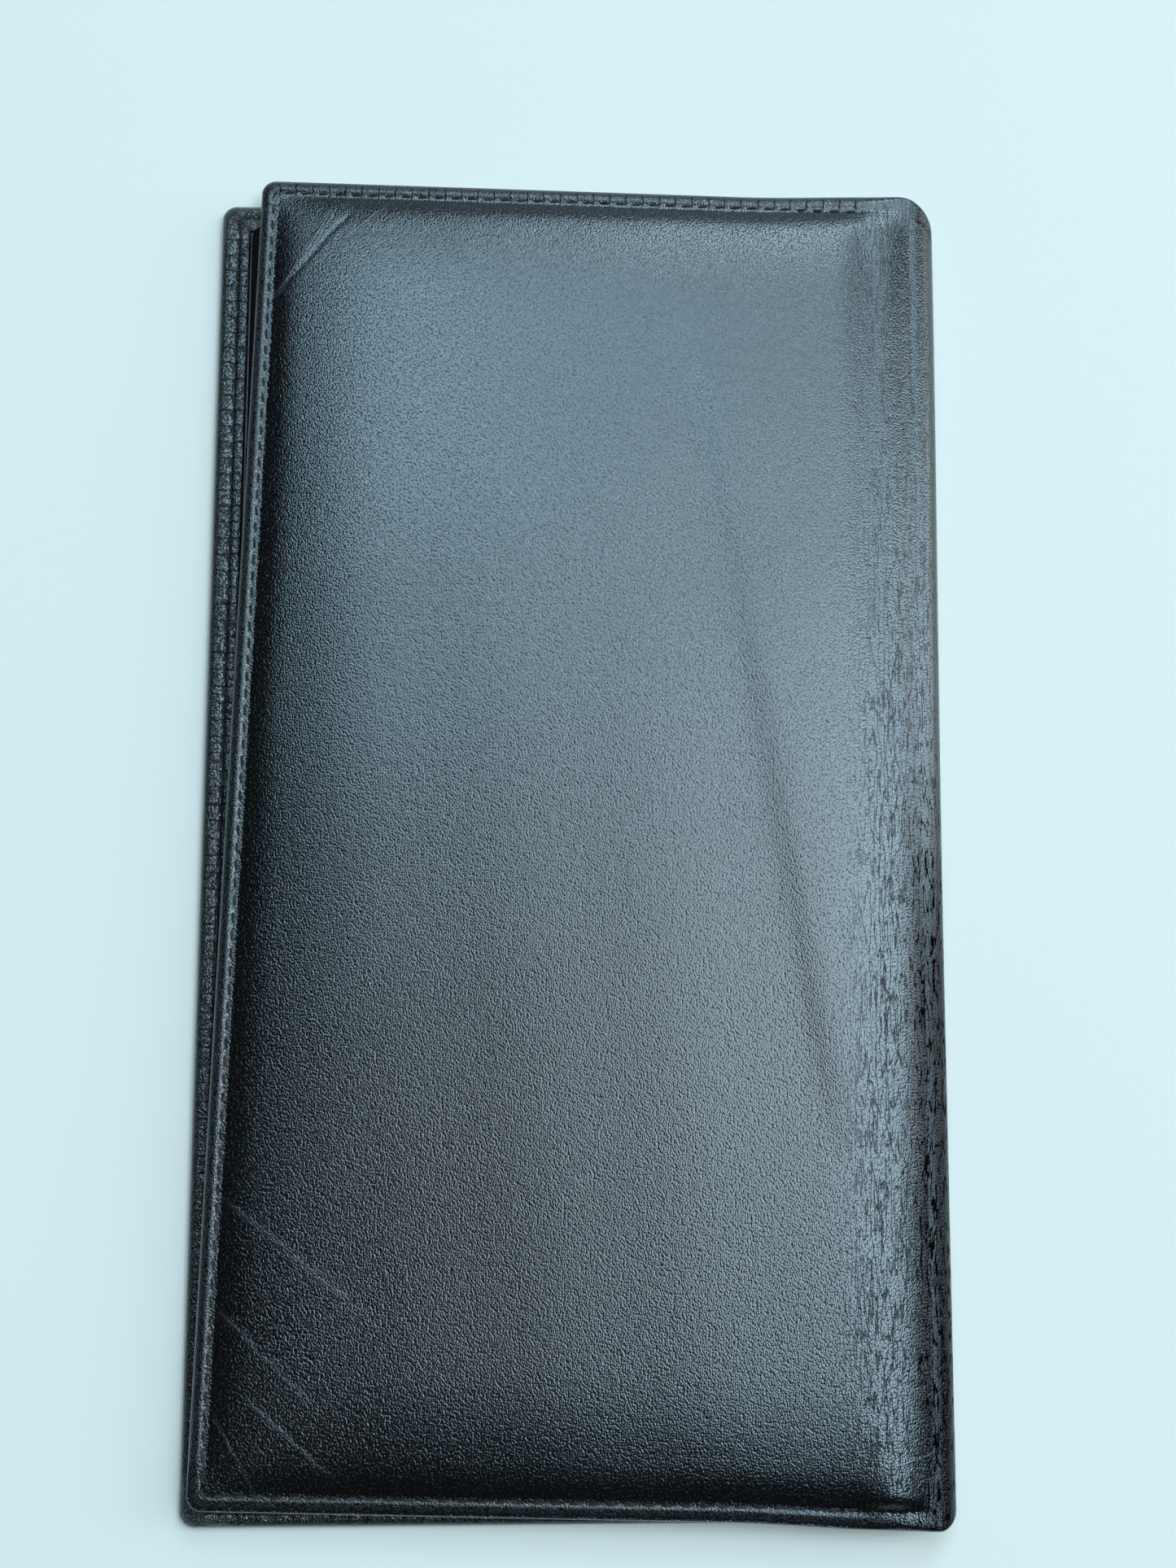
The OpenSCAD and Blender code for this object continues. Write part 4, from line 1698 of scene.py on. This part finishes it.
@dataclass
class PocketPage:
    """The page inside the front: a slip pocket the cover's height, and a ticket pocket sewn on it."""

    cover: Cover
    slip_gutter: float = 9.0
    slip_depth: float = 1.4
    panel: float = 0.25
    ticket_height: float = 98.0
    ticket_gutter: float = 10.5
    ticket_depth: float = 1.75
    notch: float = 9.0
    seam_inset: float = 2.0
    pitch: float = 2.3

    def build(self, finish: Material, thread: Material) -> list[Piece]:
        """Makes the two pockets and the ticket pocket's stitches.

        Args:
            finish: the pages' leather.
            thread: the stitches' material.

        Returns:
            The pieces.
        """
        cover = self.cover
        tuck = cover.leather + cover.clearance
        high = cover.half_height - tuck
        slip_box = (-cover.width + tuck, -self.slip_gutter, -high, high)
        slip = FlatSheet(cover, *slip_box, self.slip_depth, self.panel, corner=2.0, to_fold=True)
        edge = cover.hem_width + cover.clearance
        left, low = -cover.width + edge, -cover.half_height + edge
        ticket_box = (left, -self.ticket_gutter, low, low + self.ticket_height)
        ticket = FlatSheet(cover, *ticket_box, self.ticket_depth, self.panel, corner=1.6, notch=self.notch)

        def bow(u: Array, v: Array) -> Array:
            """The ticket pocket stands off a little at its mouth."""
            return 0.06 * ease(v, low + 40, low + self.ticket_height) * np.cos((u - left) * 0.04)

        made = [
            slip.build("slip_pocket", ["slip_pocket_panel"], finish, Slot.PAGE),
            ticket.build("ticket_pocket", ["ticket_pocket_panel"], finish, Slot.PAGE, bow, 1.5),
        ]
        made.append(self._sew(left, low, thread))
        return made

    def _sew(self, left: float, low: float, thread: Material) -> Piece:
        """Stitches down both sides of the ticket pocket and along its foot.

        Args:
            left: the pocket's left side.
            low: its foot.
            thread: the stitches' material.

        Returns:
            The stitches.
        """
        cover = self.cover
        a, b = left + self.seam_inset, -self.ticket_gutter - self.seam_inset
        foot, head = low + self.seam_inset, low + self.ticket_height - 1.0
        corners = np.array([[a, head], [a, foot], [b, foot], [b, head]])
        way = path_way(corners)
        count = int(way[-1] // self.pitch)
        middle = (np.arange(count) + 0.5) * way[-1] / count
        leg = np.clip(np.searchsorted(way, middle) - 1, 0, 2)
        run = np.array([[0.0, -1.0], [1.0, 0.0], [0.0, 1.0]])[leg]
        u, v, height, faces = Stitch(1.7, pressed=0.7, dive=0.22).row(on_path(corners, way, middle), run)
        points = cover.place(u, v, self.ticket_depth + self.panel + height).reshape(-1, 3)
        piece = make_piece("ticket_pocket_stitches", points, faces, thread)
        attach(piece, cover.side.value)
        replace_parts(piece, "ticket_pocket_stitching")
        return piece


# Studio


@dataclass(frozen=True)
class Softbox:
    """A soft lamp above the table, which may be turned in its own plane.

    It covers a range of directions, in degrees across and up from straight above.
    """

    name: str
    across: tuple[float, float]
    up: tuple[float, float]
    radiance: float
    tint: Triple
    turn_deg: float = 0.0
    distance: float = 3.0

    def light(self) -> None:
        """Hangs the lamp, facing the holder."""
        x = math.radians(sum(self.across) / 2)
        y = math.radians(sum(self.up) / 2)
        lamp = bpy.data.lights.new(self.name, "AREA")
        lamp.shape = "RECTANGLE"
        lamp.size = 2 * self.distance * math.tan(math.radians(self.across[1] - self.across[0]) / 2)
        lamp.size_y = 2 * self.distance * math.tan(math.radians(self.up[1] - self.up[0]) / 2)
        lamp.energy = self.radiance * math.pi * lamp.size * lamp.size_y
        lamp.color = self.tint
        piece = bpy.data.objects.new(self.name, lamp)
        piece.location = Vector((math.tan(x), math.tan(y), 1.0)).normalized() * self.distance
        piece.rotation_euler = (-y, x, math.radians(self.turn_deg))
        bpy.context.scene.collection.objects.link(piece)


@dataclass
class Studio:
    """Pale table, softboxes above it, a dim room with pale walls, and the camera above the holder."""

    table: Triple = (0.82, 0.92, 0.87)
    reach: float = 1.4
    backdrop: Triple = (0.70, 0.88, 0.90)
    ceiling: Triple = (0.02, 0.02, 0.021)
    dim_wall: Triple = (0.09, 0.1, 0.1)
    wall: Triple = (0.38, 0.5, 0.55)
    right_wall: Triple = (0.72, 0.78, 0.68)
    blue: Triple = (0.76, 1.02, 1.2)
    cool: Triple = (0.86, 1.02, 1.14)
    warm: Triple = (1.1, 0.99, 0.97)
    plain: Triple = (1.03, 1.0, 1.03)
    camera_at: Triple = (-7.15, -43.37, 259.46)
    camera_turn_deg: Triple = (10.554, -1.901, -0.148)
    lens: float = 44.84

    def build(self) -> None:
        """Sets the table, lamps, room and camera."""
        self._table()
        boxes = (
            Softbox("head_panel", (5, 24), (37, 54), 5.4, self.cool),
            Softbox("shoulder_panel", (14, 26), (22, 34), 2.2, self.cool),
            Softbox("window", (-20, 16), (18.5, 31.5), 2.9, self.blue, turn_deg=-43.0),
            Softbox("left_panel", (-20, -8), (13, 34), 3.2, self.blue),
            Softbox("middle_panel", (2, 19), (5, 17), 2.8, self.plain),
            Softbox("low_panel", (2, 20), (-7, 5), 3.4, self.warm),
            Softbox("foot_panel", (13, 29), (-20, -7), 5.0, self.blue),
            Softbox("right_panel", (21, 56), (9, 23), 4.4, self.cool),
            Softbox("right_low_panel", (19, 38), (-10, 9), 4.0, self.cool),
            Softbox("side_panel", (56, 82), (10, 36), 2.8, self.plain),
        )
        for box in boxes:
            box.light()
        self._room()
        self._camera()

    def _table(self) -> None:
        """A wide pale table top with a faint unevenness."""
        r = self.reach
        mesh = bpy.data.meshes.new("table")
        mesh.from_pydata([(-r, -r, 0), (r, -r, 0), (r, r, 0), (-r, r, 0)], [], [(0, 1, 2, 3)])
        top = bpy.data.objects.new("table", mesh)
        bpy.context.scene.collection.objects.link(top)
        material, net, shader = Finish("table top").start(Roughness=0.6, Specular_IOR_Level=0.2)
        point = net.add("TexCoord", {}).outputs["Object"]
        faint = tuple(c * 0.985 for c in self.table)
        net.feed(shader.inputs["Base Color"], net.blend(net.noise(point, 9.0), self.table, faint))
        mesh.materials.append(material)

    def _room(self) -> None:
        """A dim room, pale low down and higher up to the head and right; the camera sees the backdrop."""
        world = bpy.data.worlds.new("room")
        bpy.context.scene.world = world
        world.use_nodes = True
        net = Net(world.node_tree)
        ground = next(n for n in world.node_tree.nodes if n.type == "BACKGROUND")
        way = net.vector("NORMALIZE", net.add("TexCoord", {}).outputs["Generated"])
        x, y, rise = net.split(way)
        lit = net.by(net.step(y, 0.09, 0.24), net.step(x, -0.6, 0.1))
        wall = net.step(rise, net.by_plus(lit, 0.48, 0.12), net.by_plus(lit, 0.3, 0.05))
        pale = net.blend(net.step(x, 0.2, 0.7), self.wall, self.right_wall)
        low = net.blend(lit, self.dim_wall, pale)
        seen = net.add("LightPath", {}).outputs["Is Camera Ray"]
        room = net.blend(wall, self.ceiling, low)
        net.feed(ground.inputs["Color"], net.blend(seen, room, self.backdrop))
        ground.inputs["Strength"].default_value = 1.0

    def _camera(self) -> None:
        """The camera at the photograph's place."""
        camera = bpy.data.cameras.new("camera")
        camera.lens, camera.sensor_width, camera.clip_start = self.lens, 36.0, 0.01
        stand = bpy.data.objects.new("camera", camera)
        stand.location = tuple(c * MM for c in self.camera_at)
        stand.rotation_euler = tuple(math.radians(a) for a in self.camera_turn_deg)
        bpy.context.scene.collection.objects.link(stand)
        bpy.context.scene.camera = stand


def main() -> None:
    """Builds the studio and the holder in order."""
    logging.basicConfig(level=logging.INFO, format="%(name)s: %(message)s")
    bpy.context.scene.view_settings.view_transform = "Standard"
    Studio().build()
    effects = Effects()
    fold = Fold.from_hinges(frame["joints"])
    low, high = box_mm("back_cover_leather")
    back = Cover(Side.BACK, fold, fold.x - low[0], (high[1] - low[1]) / 2)
    front = Cover(Side.FRONT, fold, back.width - FRONT_SET_BACK, back.half_height, droop=0.65)
    creases = (
        Crease((-90.2, 69.9), (-78.0, 85.6), 0.4, 0.3, -0.07, strands=0.0),
        Crease((-88.2, 73.2), (-80.2, 86.0), 0.9, 0.75, 0.028, fan=0.5),
        Crease((-80.6, 79.7), (-73.9, 85.2), 0.13, 0.3, 0.025, strands=0.3),
        Crease((-64.2, 79.3), (-56.0, 79.3), 0.12, 0.6, 0.03, strands=0.3, bow=-1.1),
        Crease((-90.8, -49.4), (-67.0, -67.3), 0.45, 0.38, 0.013),
        Crease((-90.5, -63.2), (-75.2, -77.0), 0.35, 0.38, 0.015),
        Crease((-86.1, -74.1), (-72.9, -85.0), 0.35, 0.38, 0.018),
        Crease((-89.9, -75.7), (-83.2, -86.7), 0.2, 0.5, 0.014),
        Crease((-6.4, -81.6), (2.4, -78.7), 0.2, 0.6, 0.03, bow=0.6),
    )
    specks = ((-17.6, 53.0), (-71.8, -23.3), (-55.8, 43.2))
    seam, face_seam = Seam(), Seam(side_inset=1.85)
    pitch = face_seam.spacing(front)
    outer = OuterLeather("front leather", effects, creases, specks, pitch=pitch, edge_glint=0.6).build()
    plain = OuterLeather("back leather", effects, corners=seam.bends(back), pitch=seam.spacing(back)).build()
    page = PageLeather("page leather", effects).build()
    twill = TwillLining("twill lining").build()
    board = Fibre("leather board").build()
    felt = Fibre("felt padding", (0.34, 0.34, 0.35), (0.2, 0.2, 0.21), 0.5, 0.06).build()
    thread = WaxedThread("waxed thread").build()
    padding = Padding()
    padding.build(front, felt)
    face = CoverLeather(front, face_seam, padding)
    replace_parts(face.build("front_leather", outer), "front_cover_leather", "spine_leather")
    face.sew("front", "front_stitching", thread)
    rear = CoverLeather(back, seam)
    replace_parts(rear.build("back_leather", plain), "back_cover_leather", "spine_leather")
    rear.sew("back", "back_stitching", thread)
    for cover, name in ((back, "back"), (front, "front")):
        edge = cover.leather + cover.clearance
        sides = (-cover.width + edge, 0.0, edge - cover.half_height, cover.half_height - edge)
        stiff = FlatSheet(cover, *sides, depth=0.82, thickness=0.32, corner=2.1, to_fold=True)
        stiff.build(f"{name}_board", [f"{name}_stiffener"], board, Slot.BOARD)
        Lining(cover).build(f"{name}_twill", [f"{name}_lining", "spine_lining"], twill)
    CardBank(back).build(page)
    PocketPage(front).build(page, thread)


if __name__ == "__main__":
    main()
